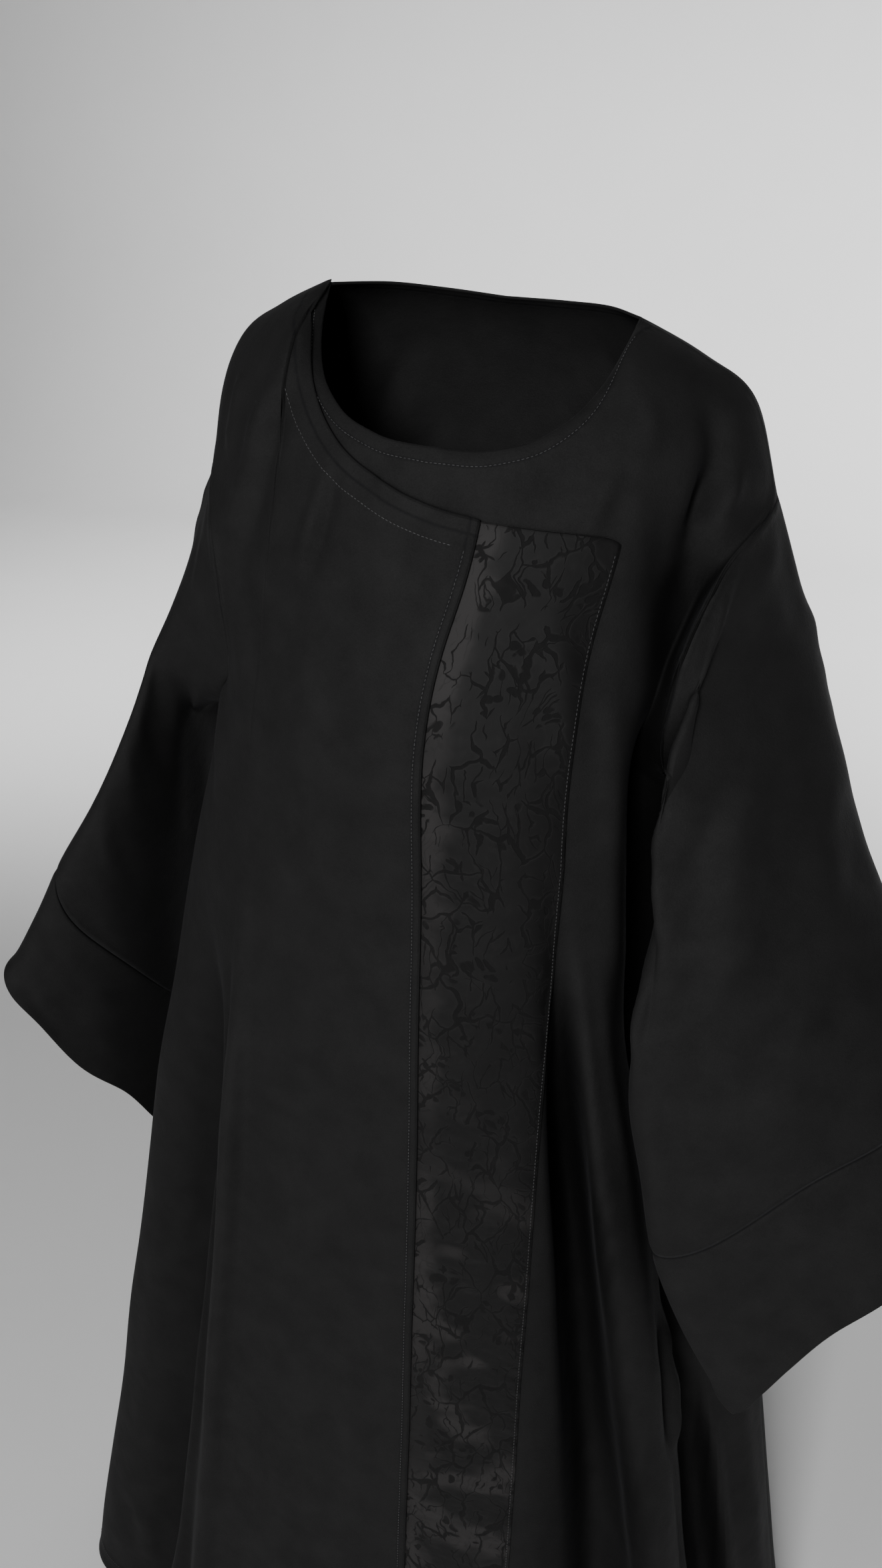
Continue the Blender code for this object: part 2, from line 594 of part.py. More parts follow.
def make_front_layers(front, front_normals, levels):
    """The jacquard band on the under front, and the upper front over both, from its points."""
    band_top = np.interp(FRONT_TOPS, (EDGE_LINE, NECK_END), (BAND_TOP_RIGHT, BAND_TOP_LEFT))
    band_starts = down_at_drop(FRONT_TOPS, band_top, True)
    band_columns = slice(EDGE_COLUMN - BAND_TUCK_COLUMNS, BAND_COLUMN + 1)
    band = slide(front, front_normals, levels, band_starts, band_columns)
    band_low = LAYER_GAP
    band_high = band_low + BAND_WALL

    edge_drop = smooth(UPPER_EDGE["angle"], UPPER_EDGE["drop"], np.clip(FRONT_TOPS, -NECK_END, EDGE_LINE))
    upper_starts = np.where(FRONT_TOPS > -NECK_END, down_at_drop(FRONT_TOPS, edge_drop, True), 0.0)
    points, normals, upper_levels = slide(front, front_normals, levels, upper_starts, slice(0, EDGE_COLUMN + 1))
    from_edge = EDGE_COLUMN - np.arange(EDGE_COLUMN + 1)
    over_band = ease((5 - from_edge) / 3.0)
    low = np.broadcast_to(LAYER_GAP + over_band * (band_high - band_low + LAYER_GAP), upper_levels.shape)
    beside = slice(0, ARMHOLE_ROWS + 1)
    inward = points[beside, 1] - points[beside, 0]
    reach = np.linalg.norm(inward, axis=-1, keepdims=True)
    points[beside, 0] += unit(inward) * np.minimum(OVERLAP_INSET, 0.5 * reach)
    upper = sheet_mesh("front_upper", points, normals, upper_levels, np.array(low), np.array(low) + WALL)
    return [(sheet_mesh("front_band", *band, band_low, band_high), JACQUARD), (upper, CREPE)]


def main():
    for old in list(bpy.data.objects):
        bpy.data.objects.remove(old)
    garment = bpy.data.collections.new("abaya")
    bpy.context.scene.collection.children.link(garment)
    finishes = {made[0]: material(*made) for made in (CREPE, JACQUARD)}
    for piece, finish in make_body_and_sleeves():
        piece.data.materials.append(finishes[finish[0]])
        garment.objects.link(piece)


main()
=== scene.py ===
"""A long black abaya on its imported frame: the cloth, its seams and stitches, and the studio.

Run as it is, the script makes every piece and finishes the frame. Its panel in the 3D view's sidebar
makes each group of pieces by its own button.
"""
import json
import math

import bpy
import numpy as np
from mathutils import Euler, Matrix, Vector

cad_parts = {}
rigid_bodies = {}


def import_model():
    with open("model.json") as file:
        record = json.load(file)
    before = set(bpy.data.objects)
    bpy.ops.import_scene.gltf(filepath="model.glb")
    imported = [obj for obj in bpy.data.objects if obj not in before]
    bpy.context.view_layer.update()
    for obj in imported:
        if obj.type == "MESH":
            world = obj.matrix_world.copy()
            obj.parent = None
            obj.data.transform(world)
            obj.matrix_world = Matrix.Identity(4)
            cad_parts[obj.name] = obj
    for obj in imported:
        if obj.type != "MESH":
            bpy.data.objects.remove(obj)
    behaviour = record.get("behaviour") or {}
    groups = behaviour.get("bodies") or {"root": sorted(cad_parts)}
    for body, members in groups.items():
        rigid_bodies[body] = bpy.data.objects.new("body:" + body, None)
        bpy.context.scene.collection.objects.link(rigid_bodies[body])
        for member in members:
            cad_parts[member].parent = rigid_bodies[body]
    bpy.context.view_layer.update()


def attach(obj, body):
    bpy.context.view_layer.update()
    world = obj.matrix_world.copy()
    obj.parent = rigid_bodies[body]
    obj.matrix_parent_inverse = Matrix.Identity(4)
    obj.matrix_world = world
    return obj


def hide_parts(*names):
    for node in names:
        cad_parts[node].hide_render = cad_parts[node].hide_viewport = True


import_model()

bl_info = {
    "name": "Abaya",
    "version": (1, 0, 0),
    "blender": (4, 5, 0),
    "location": "3D View > Sidebar > Abaya",
    "description": "Fine cloth, seams, stitches and studio for the abaya",
    "category": "Object",
}

# ---------------------------------------------------------------- driving sizes, metres
LENGTH = 1.42                # high shoulder point down to the hem
WALL = 0.002                 # thickness of the crepe pieces
BAND_WALL = 0.0014           # thickness of the jacquard band
LAYER_GAP = 0.00035          # clear space between two layers that lie on each other
SHOULDER_SLANT = 0.075       # the left shoulder is lower: drop for each metre towards the left
NECK_WIDTH = 0.115           # from the middle to each end of the neckline
NECK_SHIFT = 0.005           # the neckline sits this far towards the left
SHOULDER_SHIFT = 0.010       # and the shoulders this much further
ARMHOLE_ROWS = 7             # rows of faces beside the armhole
ROWS = 24                    # rows of faces from the top edge to the hem
ROW_GROWTH = 0.8             # larger makes the rows near the hem taller

# Angles in degrees along the top edge of the body, from the middle (0) to the side (90).
NECK_END = 35.0              # neckline from 0, shoulder seam from here to the armhole at 90
EDGE_LINE = 12.0             # line of faces that runs down the free edge of the upper front

SLEEVE_END = 1.0             # the run along the sleeve: 0 armhole, 1 cuff seam
CUFF_END = 1.4               # and this at the hem of the cuff
ARMHOLE_FADE = 0.45          # run over which the armhole's shape fades into the sleeve's own


def table(columns, *rows):
    """A short table with named columns, each an array."""
    return dict(zip(columns.split(), np.array(rows, float).T))


# The body as it hangs: half widths to the wearer's right and left, depths in front and behind.
BODY = table(
    "drop   right  left   front  back",
    (0.000, 0.194, 0.203, 0.100, 0.098),
    (0.085, 0.199, 0.208, 0.119, 0.112),
    (0.130, 0.204, 0.211, 0.131, 0.118),
    (0.180, 0.206, 0.205, 0.143, 0.122),
    (0.260, 0.208, 0.203, 0.163, 0.124),
    (0.350, 0.219, 0.209, 0.171, 0.122),
    (0.450, 0.248, 0.218, 0.176, 0.124),
    (0.650, 0.289, 0.252, 0.192, 0.142),
    (0.850, 0.328, 0.284, 0.215, 0.168),
    (1.080, 0.370, 0.320, 0.246, 0.200),
    (1.420, 0.443, 0.374, 0.292, 0.246))

# Where the top edge of the body runs, and the height over which each line of cloth rolls over it.
FRONT_NECK = table(
    "angle x      y       z       roll",
    (0,    0.000, -0.115, -0.083, 0.060),
    (12,   0.042, -0.109, -0.080, 0.060),
    (20,   0.073, -0.094, -0.069, 0.062),
    (27,   0.097, -0.065, -0.047, 0.068),
    (31,   0.108, -0.036, -0.026, 0.076),
    (35,   0.115,  0.000,  0.000, 0.085))
BACK_NECK = table(
    "angle x      y       z       roll",
    (0,    0.000,  0.068, -0.004, 0.085),
    (14,   0.050,  0.063, -0.002, 0.085),
    (25,   0.086,  0.042,  0.000, 0.085),
    (35,   0.115,  0.000,  0.000, 0.085))
SHOULDER = table(
    "angle x      y       z       roll",
    (35,   0.115,  0.000,  0.000, 0.085),
    (55,   0.157,  0.003, -0.020, 0.085),
    (74,   0.193,  0.003, -0.047, 0.075),
    (90,   0.212,  0.000, -0.108, 0.062))

# The armhole cuts into the body: at a drop, the body's section ends at this angle, and its edge there
# stands this far off the plain section. The lines of cloth between it and the neckline close up.
FRONT_ARMHOLE = table(
    "drop   section off_x   off_y",
    (0.108, 90,      0.002,  0.000),
    (0.130, 71,      0.001, -0.007),
    (0.168, 62,      0.000, -0.019),
    (0.226, 57,     -0.002, -0.014),
    (0.302, 62,     -0.008,  0.000),
    (0.332, 74,     -0.006,  0.000),
    (0.352, 90,     -0.004,  0.000))
BACK_ARMHOLE = table(
    "drop   section off_x   off_y",
    (0.108, 90,      0.002,  0.000),
    (0.134, 71,      0.001,  0.007),
    (0.180, 63,      0.000,  0.012),
    (0.240, 61,     -0.002,  0.008),
    (0.310, 66,     -0.006,  0.002),
    (0.352, 90,     -0.004,  0.000))
ARMHOLE_SPREAD = 2.5         # larger keeps the armhole's own shape nearer to the armhole
UNDERARM_DROP = 0.352
SHOULDER_SHIFT_FADE = 0.20   # height above the underarm over which the shoulder's shift fades

# The free edge of the upper front and the outer edge of the jacquard band, going down.
FRONT_LINES = table(
    "drop   edge   band",
    (0.000, 0.042, 0.116),
    (0.128, 0.043, 0.137),
    (0.170, 0.036, 0.129),
    (0.210, 0.024, 0.121),
    (0.260, 0.016, 0.117),
    (0.400, 0.014, 0.113),
    (0.650, 0.015, 0.108),
    (1.000, 0.017, 0.106),
    (1.420, 0.020, 0.106))
BAND_TOP_RIGHT = 0.127       # drop of the band's top edge at the free edge
BAND_TOP_LEFT = 0.138        # and at the band's outer corner

# The upper edge of the upper front, from the shoulder to its corner.
UPPER_EDGE = table(
    "angle drop",
    (-35, 0.000),
    (-31, 0.030),
    (-26, 0.058),
    (-20, 0.081),
    (-9,  0.104),
    (5,   0.121),
    (12,  0.126))

FOLD_GROWTH = 0.22           # drop over which a fold grows from its start
FOLD_FADE = 0.35             # and over which one that ends above the hem fades
HEM_DIP = 0.012              # the hem is this much lower at the middle of the front
BACK_RISE = 0.004            # and this much higher behind

# Large folds. start and end are drops. Heights are outward.
FOLDS = table(
    "front start  end   angle_start angle_end wide_start wide_end height_start height_end",
    # front: the long ridge on the wearer's right, its valley, and the ridge at the side
    (1, 0.330, 1.42, -38, -38,   6.0,  6.5,   0.004,  0.024),
    (1, 0.400, 1.42, -50, -49,   7.0,  6.5,  -0.004, -0.030),
    (1, 0.450, 1.42, -67, -64,   8.0,  8.0,   0.004,  0.022),
    # front: deep valley beside the band, the tubular fold, then the folds below the sleeve
    (1, 0.420, 1.42,  34,  34,   5.0,  9.0,  -0.006, -0.052),
    (1, 0.420, 1.42,  43,  51,   6.5,  7.0,   0.006,  0.040),
    (1, 0.600, 1.42,  60,  62,   6.0,  5.0,  -0.006, -0.028),
    (1, 0.700, 1.42,  72,  73,   7.0,  6.5,   0.004,  0.026),
    (1, 0.260, 0.95,  64,  62,   9.0,  9.0,  -0.056, -0.024),
    # back
    (0, 0.350, 1.42,   3,   4,   8.0,  7.5,  -0.004, -0.030),
    (0, 0.420, 1.42,  22,  23,   7.0,  7.0,   0.004,  0.030),
    (0, 0.500, 1.42,  39,  40,   7.0,  6.5,  -0.003, -0.026),
    (0, 0.450, 1.42,  57,  57,   7.0,  6.5,   0.003,  0.026),
    (0, 0.600, 1.42,  73,  72,   6.0,  6.0,  -0.002, -0.018),
    (0, 0.380, 1.42, -16, -18,   7.0,  7.0,   0.004,  0.028),
    (0, 0.480, 1.42, -34, -35,   7.0,  6.5,  -0.003, -0.028),
    (0, 0.520, 1.42, -51, -52,   7.0,  6.5,   0.003,  0.028),
    (0, 0.560, 1.42, -69, -68,   6.5,  6.5,  -0.002, -0.020))

# Sleeves with their cuffs, by the run along them: the outer line on the arm, the inner line that
# hangs, how far the front and the back wall stand from the line between them, and how far the front
# leans in and rises for each metre that it stands out.
LEFT_SLEEVE = table(
    "run   outer_x outer_y outer_z inner_x inner_y inner_z front  back   lean  rise",
    (0.00, 0.212,  0.000, -0.108,  0.205,  0.000, -0.352, 0.094, 0.080, 0.00, 0.00),
    (0.06, 0.224, -0.001, -0.136,  0.242, -0.004, -0.360, 0.097, 0.080, 0.06, 0.00),
    (0.12, 0.236, -0.003, -0.165,  0.252, -0.022, -0.376, 0.099, 0.078, 0.32, 0.00),
    (0.25, 0.263, -0.006, -0.222,  0.222, -0.082, -0.412, 0.090, 0.074, 0.62, 0.00),
    (0.40, 0.289, -0.012, -0.285,  0.188, -0.136, -0.456, 0.074, 0.070, 0.60, 0.02),
    (0.60, 0.323, -0.024, -0.370,  0.172, -0.166, -0.530, 0.060, 0.068, 0.30, 0.05),
    (0.80, 0.366, -0.036, -0.450,  0.186, -0.177, -0.610, 0.054, 0.068, 0.08, 0.10),
    (1.00, 0.412, -0.050, -0.542,  0.204, -0.178, -0.692, 0.052, 0.066, 0.00, 0.12),
    (1.20, 0.438, -0.056, -0.585,  0.236, -0.172, -0.780, 0.052, 0.064, 0.00, 0.20),
    (1.40, 0.466, -0.062, -0.635,  0.280, -0.158, -0.866, 0.055, 0.060, 0.00, 0.30))
RIGHT_SLEEVE = table(
    "run   outer_x outer_y outer_z inner_x inner_y inner_z front  back   lean  rise",
    (0.00, 0.212,  0.000, -0.108,  0.205,  0.000, -0.352, 0.094, 0.080, 0.00, 0.00),
    (0.06, 0.219, -0.001, -0.132,  0.234,  0.000, -0.358, 0.090, 0.080, 0.00, 0.00),
    (0.12, 0.226, -0.003, -0.158,  0.250,  0.010, -0.374, 0.086, 0.078, 0.00, 0.05),
    (0.25, 0.238, -0.005, -0.215,  0.260,  0.034, -0.392, 0.082, 0.075, 0.00, 0.12),
    (0.40, 0.259, -0.010, -0.280,  0.284,  0.054, -0.465, 0.080, 0.073, 0.00, 0.20),
    (0.60, 0.297, -0.016, -0.365,  0.309,  0.070, -0.565, 0.080, 0.073, 0.00, 0.30),
    (0.80, 0.340, -0.022, -0.440,  0.330,  0.080, -0.661, 0.080, 0.074, 0.00, 0.38),
    (1.00, 0.382, -0.028, -0.506,  0.348,  0.086, -0.746, 0.080, 0.075, 0.00, 0.44),
    (1.20, 0.418, -0.036, -0.566,  0.367,  0.090, -0.848, 0.078, 0.073, 0.00, 0.46),
    (1.40, 0.453, -0.044, -0.624,  0.384,  0.092, -0.953, 0.074, 0.070, 0.00, 0.48))
HANG_TAPER = 0.35            # the walls of a sleeve close in towards the hanging line


# ---------------------------------------------------------------- reading the tables
def smooth(stations, values, at):
    """A smooth curve through the rows of a table, read at many places at once."""
    slope = np.gradient(values, stations)
    i = np.clip(np.searchsorted(stations, at) - 1, 0, len(stations) - 2)
    step = stations[i + 1] - stations[i]
    f = np.clip((at - stations[i]) / step, 0.0, 1.0)
    start = (1 + 2 * f) * (1 - f) ** 2 * values[i] + f * (1 - f) ** 2 * step * slope[i]
    end = f * f * (3 - 2 * f) * values[i + 1] + f * f * (f - 1) * step * slope[i + 1]
    return start + end


def read(rows, column, at):
    return smooth(next(iter(rows.values())), rows[column], at)


def ease(f):
    """0 to 1 with level ends."""
    f = np.clip(f, 0.0, 1.0)
    return f * f * (3 - 2 * f)


# ---------------------------------------------------------------- the body's surface
def side_lower(top_angle):
    """How much lower than the tables say the shoulder and the armhole are on this side."""
    shift = top_shift(SHOULDER["x"][-1], SHOULDER["z"][-1])
    return SHOULDER_SLANT * (np.sign(top_angle) * SHOULDER["x"][-1] + shift)


def beside_armhole(column, drop, front):
    """A column of the armhole's table by drop."""
    rows = FRONT_ARMHOLE if front else BACK_ARMHOLE
    return smooth(rows["drop"], rows[column], np.clip(drop, rows["drop"][0], rows["drop"][-1]))


def nearness(top_angle):
    """How near a line of cloth is to the side: 0 at the end of the neckline, 1 at the armhole."""
    return np.clip((np.abs(top_angle) - NECK_END) / (90 - NECK_END), 0.0, 1.0)


def column_angle(top_angle, drop, front):
    """The angle that a line of cloth has at a drop, from its angle at the top edge."""
    if front:
        width = np.maximum(read(BODY, "left", drop), 0.01)
        edge = np.degrees(np.arcsin(read(FRONT_LINES, "edge", drop) / width))
        band = np.degrees(np.arcsin(read(FRONT_LINES, "band", drop) / width))
        right = -90 + (top_angle + 90) / (EDGE_LINE + 90) * (edge + 90)
        right_neck = 90 - (90 - NECK_END) / (EDGE_LINE + 90) * (edge + 90)
        middle = edge + (top_angle - EDGE_LINE) / (NECK_END - EDGE_LINE) * (band - edge)
        angle = np.where(top_angle < EDGE_LINE, right, middle)
        neck = np.where(top_angle < 0, right_neck, band)
    else:
        angle = top_angle
        neck = np.full_like(drop, NECK_END)
    limit = beside_armhole("section", drop - side_lower(top_angle), front)
    outer = neck + (limit - neck) * nearness(top_angle)
    return np.where(np.abs(top_angle) > NECK_END, np.sign(top_angle) * outer, angle)


def fold_height(angle, drop, front):
    """How far the large folds lift the cloth off the plain section."""
    total = np.zeros_like(drop)
    for row in zip(*FOLDS.values()):
        on_front, start, end, angle_start, angle_end, wide_start, wide_end, low, high = row
        if bool(on_front) != front:
            continue
        f = np.clip((drop - start) / (end - start), 0.0, 1.0)
        grown = ease((drop - start) / FOLD_GROWTH) * (low + (high - low) * f)
        if end < LENGTH:
            grown = grown * ease((end - drop) / FOLD_FADE)
        centre = angle_start + (angle_end - angle_start) * f
        wide = wide_start + (wide_end - wide_start) * f
        total += grown * np.exp(-((angle - centre) / wide) ** 2)
    return total


def drape(angle, drop, front):
    """The hanging cloth as a section at each drop: x and y."""
    turn = np.radians(angle)
    width = np.where(angle < 0, read(BODY, "right", drop), read(BODY, "left", drop))
    depth = read(BODY, "front" if front else "back", drop)
    lift = fold_height(angle, drop, front)
    toward = -1.0 if front else 1.0
    return (width + lift) * np.sin(turn), toward * (depth + lift) * np.cos(turn)


def section(top_angle, drop, front):
    """The body's section with the armhole's own shape in it."""
    x, y = drape(column_angle(top_angle, drop, front), drop, front)
    side_drop = drop - side_lower(top_angle)
    near = nearness(top_angle) ** ARMHOLE_SPREAD * (1 - ease((side_drop - UNDERARM_DROP) / ARMHOLE_FADE))
    off_x = np.sign(top_angle) * beside_armhole("off_x", side_drop, front)
    off_x = off_x + np.where(top_angle > 0, top_shift(np.abs(x), -side_drop), 0.0)
    return x + near * off_x, y + near * beside_armhole("off_y", side_drop, front)


def top_shift(across, z):
    """The neck and the shoulders sit a little towards the left."""
    fade = np.clip((UNDERARM_DROP + z) / SHOULDER_SHIFT_FADE, 0, 1)
    return NECK_SHIFT + SHOULDER_SHIFT * np.clip((across - NECK_WIDTH) / NECK_WIDTH, 0, 1) * fade


def top_edge(top_angle, front):
    """The point of the top edge at an angle, and the height over which the cloth rolls over it."""
    size = np.abs(top_angle)
    neck = FRONT_NECK if front else BACK_NECK
    x, y, z, roll = (np.where(size <= NECK_END, read(neck, column, size), read(SHOULDER, column, size))
                     for column in ("x", "y", "z", "roll"))
    x = np.sign(top_angle) * x + top_shift(x, z)
    return x, y, z - SHOULDER_SLANT * x, roll


def hem_drop(angle, front):
    """The hem dips at the front and is a little shorter behind."""
    return LENGTH + HEM_DIP * np.cos(np.radians(angle)) ** 2 if front else LENGTH - BACK_RISE


def underarm_level(top_angle):
    """The drop of the row of faces that ends at the underarm."""
    return UNDERARM_DROP + side_lower(top_angle) * nearness(top_angle)


def body_points(top_angle, down, front):
    """Points of the body's outer surface. down runs from 0 at the top edge to 1 at the hem."""
    x0, y0, z0, roll = top_edge(top_angle, front)
    beside = np.clip(down * ROWS / ARMHOLE_ROWS, 0.0, 1.0)
    below = np.clip((down * ROWS - ARMHOLE_ROWS) / (ROWS - ARMHOLE_ROWS), 0.0, 1.0)
    level = underarm_level(top_angle)
    drop = -z0 + (level + z0) * (1 - np.cos(math.pi * beside)) / 2
    drop = drop + (hem_drop(top_angle, front) - level) * (below + ROW_GROWTH * below ** 2) / (1 + ROW_GROWTH)
    start_x, start_y = section(top_angle, -z0, front)
    x, y = section(top_angle, drop, front)
    left = 1 - np.clip((drop + z0) / roll, 0.0, 1.0)
    stay = 1 - np.sqrt(np.maximum(1 - left * left, 0.0))
    return np.stack([x + (x0 - start_x) * stay, y + (y0 - start_y) * stay, -drop], -1)


def down_at_drop(top_angle, drop, front):
    """The down value that reaches a drop on a line of cloth, above the underarm."""
    z0 = top_edge(top_angle, front)[2]
    share = np.clip((drop + z0) / (underarm_level(top_angle) + z0), 0.0, 1.0)
    return np.arccos(1 - 2 * share) / math.pi * ARMHOLE_ROWS / ROWS


# ---------------------------------------------------------------- the sleeves' surface
def armhole_ring(turn, mirror):
    """The armhole as a ring: turn 0 at the shoulder, 0.5 at the underarm, round by the front."""
    side = np.full_like(turn, mirror * 90.0)
    down = (1 - np.abs(1 - 2 * turn)) * ARMHOLE_ROWS / ROWS
    ahead, behind = body_points(side, down, True), body_points(side, down, False)
    return np.where((turn <= 0.5)[..., None], ahead, behind)


def sleeve_loop(rows, run, turn):
    """The sleeve's own section: a loop that hangs between its outer and its inner line."""
    outer = np.stack([read(rows, "outer_" + axis, run) for axis in "xyz"], -1)
    inner = np.stack([read(rows, "inner_" + axis, run) for axis in "xyz"], -1)
    round_angle = 2 * math.pi * turn
    along = np.cos(round_angle)[..., None]
    across = np.sin(round_angle)
    depth = np.where(across > 0, read(rows, "front", run), read(rows, "back", run))
    reach = depth * across * (1 + HANG_TAPER * along[..., 0])
    lean = np.where(across > 0, read(rows, "lean", run), 0.0)
    side = np.stack([-lean, np.full_like(run, -1.0), read(rows, "rise", run)], -1)
    return (outer + inner) / 2 + (outer - inner) / 2 * along + side * reach[..., None]


def sleeve_hang(rows, run, turn, mirror):
    """That section on its own side, with the shift and the slant of the shoulders in it."""
    points = sleeve_loop(rows, run, turn)
    points[..., 0] *= mirror
    stay = 1 - ease(run)
    points[..., 0] += stay * top_shift(np.abs(points[..., 0]), points[..., 2])
    points[..., 2] -= SHOULDER_SLANT * points[..., 0] * stay
    return points


def sleeve_points(rows, run, turn, mirror):
    """Points of a sleeve's outer surface, from the armhole to the hem of its cuff."""
    lift = armhole_ring(turn, mirror) - sleeve_hang(rows, np.zeros_like(run), turn, mirror)
    return sleeve_hang(rows, run, turn, mirror) + lift * (1 - ease(run / ARMHOLE_FADE))[..., None]


# ---------------------------------------------------------------- walls of cloth
def unit(vectors):
    return vectors / np.maximum(np.linalg.norm(vectors, axis=-1, keepdims=True), 1e-12)


def surface_normals(points, wraps):
    """Normals at a grid's points, from the faces round each, by their area."""
    if wraps:
        points = np.concatenate([points, points[:, :1]], 1)
    faces = np.cross(points[1:, :-1] - points[:-1, 1:], points[1:, 1:] - points[:-1, :-1])
    normals = np.zeros_like(points)
    for rows in (slice(None, -1), slice(1, None)):
        for columns in (slice(None, -1), slice(1, None)):
            normals[rows, columns] += faces
    if wraps:
        normals[:, 0] += normals[:, -1]
        normals = normals[:, :-1]
    return unit(normals)


def steps(*runs):
    """Even steps through several stretches: (start, end, number)."""
    values = [np.linspace(start, end, number + 1)[:-1] for start, end, number in runs]
    return np.concatenate(values + [[runs[-1][1]]])


def outward(points, normals, centre_x):
    """Turns a grid's normals so that they point away from a line through its middle."""
    middle = points.mean(axis=(0, 1))
    if centre_x is not None:
        middle = np.array([centre_x, 0.0, middle[2]])
    flat = (points - middle)[..., :2]
    return normals if np.sum(flat * normals[..., :2]) > 0 else -normals


# ---------------------------------------------------------------- creases
# Each runs from one end to the other with its middle bowed sideways. It is a soft ridge, or a trough
# where its height is negative, with a shallower hollow (beside) on its right (-) or its left (+).
BODY_CREASES = table(
    "front angle_a drop_a angle_b drop_b bow    wide   height  beside",
    # the wearer's right of the chest
    (1, -55, 0.040, -62, 0.175,  0.004, 0.009,  0.0070,  0.7),
    (1, -31, 0.092, -37, 0.180,  0.002, 0.007,  0.0042,  0.6),
    (1, -70, 0.048, -66, 0.110,  0.002, 0.006,  0.0030, -0.5),
    (1, -74, -0.004, -46, 0.058, 0.003, 0.004,  0.0014,  0.5),
    (1, -66, 0.010, -50, 0.070,  0.003, 0.005,  0.0012, -0.4),
    (1, -14, 0.100, -11, 0.113,  0.000, 0.003,  0.0010, -0.5),
    (1, -58, 0.200, -48, 0.330,  0.006, 0.014,  0.0030,  0.5),
    (1, -76, 0.230, -60, 0.400,  0.008, 0.012,  0.0040, -0.5),
    (1, -30, 0.200, -26, 0.420,  0.006, 0.020,  0.0025,  0.4),
    # the wearer's left of the chest, down to the fold beside the sleeve
    (1,  55, 0.080,  43, 0.142,  0.003, 0.007,  0.0026,  0.4),
    (1,  66, 0.050,  54, 0.104,  0.003, 0.007,  0.0020, -0.5),
    (1,  78, 0.050,  59, 0.250,  0.006, 0.010, -0.0170,  0.0),
    (1,  80, 0.095,  66, 0.170,  0.002, 0.008,  0.0050, -0.4),
    (1,  63, 0.080,  58, 0.640,  0.004, 0.016, -0.0270,  0.0),
    (1,  48, 0.180,  50, 0.560,  0.004, 0.014,  0.0050,  0.6),
    (1,  36, 0.170,  40, 0.330,  0.005, 0.014,  0.0018,  0.5),
    # the skirt
    (1, -44, 0.390, -43, 1.500, -0.002, 0.009,  0.0130, -1.0),
    (1, -53, 0.420, -52, 1.500,  0.000, 0.014, -0.0100,  0.0),
    (1, -61, 0.440, -60, 1.500,  0.000, 0.028, -0.0310,  0.0),
    (1, -77, 0.420, -76, 1.500,  0.002, 0.012,  0.0050,  0.6),
    (1, -66, 1.280, -64, 1.370,  0.001, 0.007,  0.0044, -0.6),
    (1, -24, 0.560, -28, 1.500,  0.004, 0.028,  0.0030,  0.4),
    (1,  -6, 0.620, -10, 1.500,  0.004, 0.030,  0.0024, -0.4),
    (1,  38, 0.400,  54, 1.500,  0.014, 0.011,  0.0270, -0.5),
    (1,  34, 0.340,  46, 1.500,  0.008, 0.012, -0.0300,  0.0),
    (1,  44, 0.400,  56, 1.500,  0.014, 0.008,  0.0060,  0.7),
    (1,  55, 0.360,  64, 1.300,  0.006, 0.013, -0.0200,  0.0),
    (1,  60, 0.780,  58, 0.960,  0.002, 0.007,  0.0090, -0.6),
    (1,  69, 0.850,  74, 1.500,  0.002, 0.007,  0.0140, -0.9),
    (1,  64, 0.850,  66, 1.500,  0.002, 0.012, -0.0070,  0.0),
    (1,  82, 0.700,  84, 1.500,  0.004, 0.012,  0.0050,  0.5),
    # the back
    (0, -40, 0.030, -66, 0.190,  0.008, 0.012,  0.0040,  0.5),
    (0, -24, 0.060, -58, 0.270,  0.012, 0.015,  0.0030, -0.4),
    (0,  38, 0.030,  68, 0.200,  0.008, 0.012,  0.0038,  0.5),
    (0,  20, 0.080,  60, 0.300,  0.012, 0.015,  0.0028, -0.4),
    (0, -62, 0.240, -48, 0.420,  0.006, 0.012,  0.0034,  0.5),
    (0,  64, 0.240,  52, 0.430,  0.006, 0.012,  0.0036,  0.5),
    (0, -10, 0.120, -14, 0.500,  0.010, 0.022,  0.0026,  0.4),
    (0,  12, 0.140,   9, 0.520,  0.010, 0.022,  0.0026, -0.4),
    (0,   8, 0.600,  10, 1.430,  0.008, 0.016,  0.0044,  0.5),
    (0,  31, 0.560,  32, 1.430,  0.006, 0.013,  0.0050, -0.5),
    (0,  49, 0.640,  50, 1.430,  0.006, 0.013,  0.0046,  0.5),
    (0,  66, 0.700,  66, 1.430,  0.006, 0.012,  0.0040, -0.5),
    (0,  -8, 0.620,  -9, 1.430,  0.008, 0.015,  0.0042, -0.5),
    (0, -26, 0.580, -27, 1.430,  0.006, 0.013,  0.0048,  0.5),
    (0, -44, 0.640, -44, 1.430,  0.006, 0.013,  0.0044, -0.5),
    (0, -61, 0.700, -60, 1.430,  0.006, 0.012,  0.0040,  0.5))

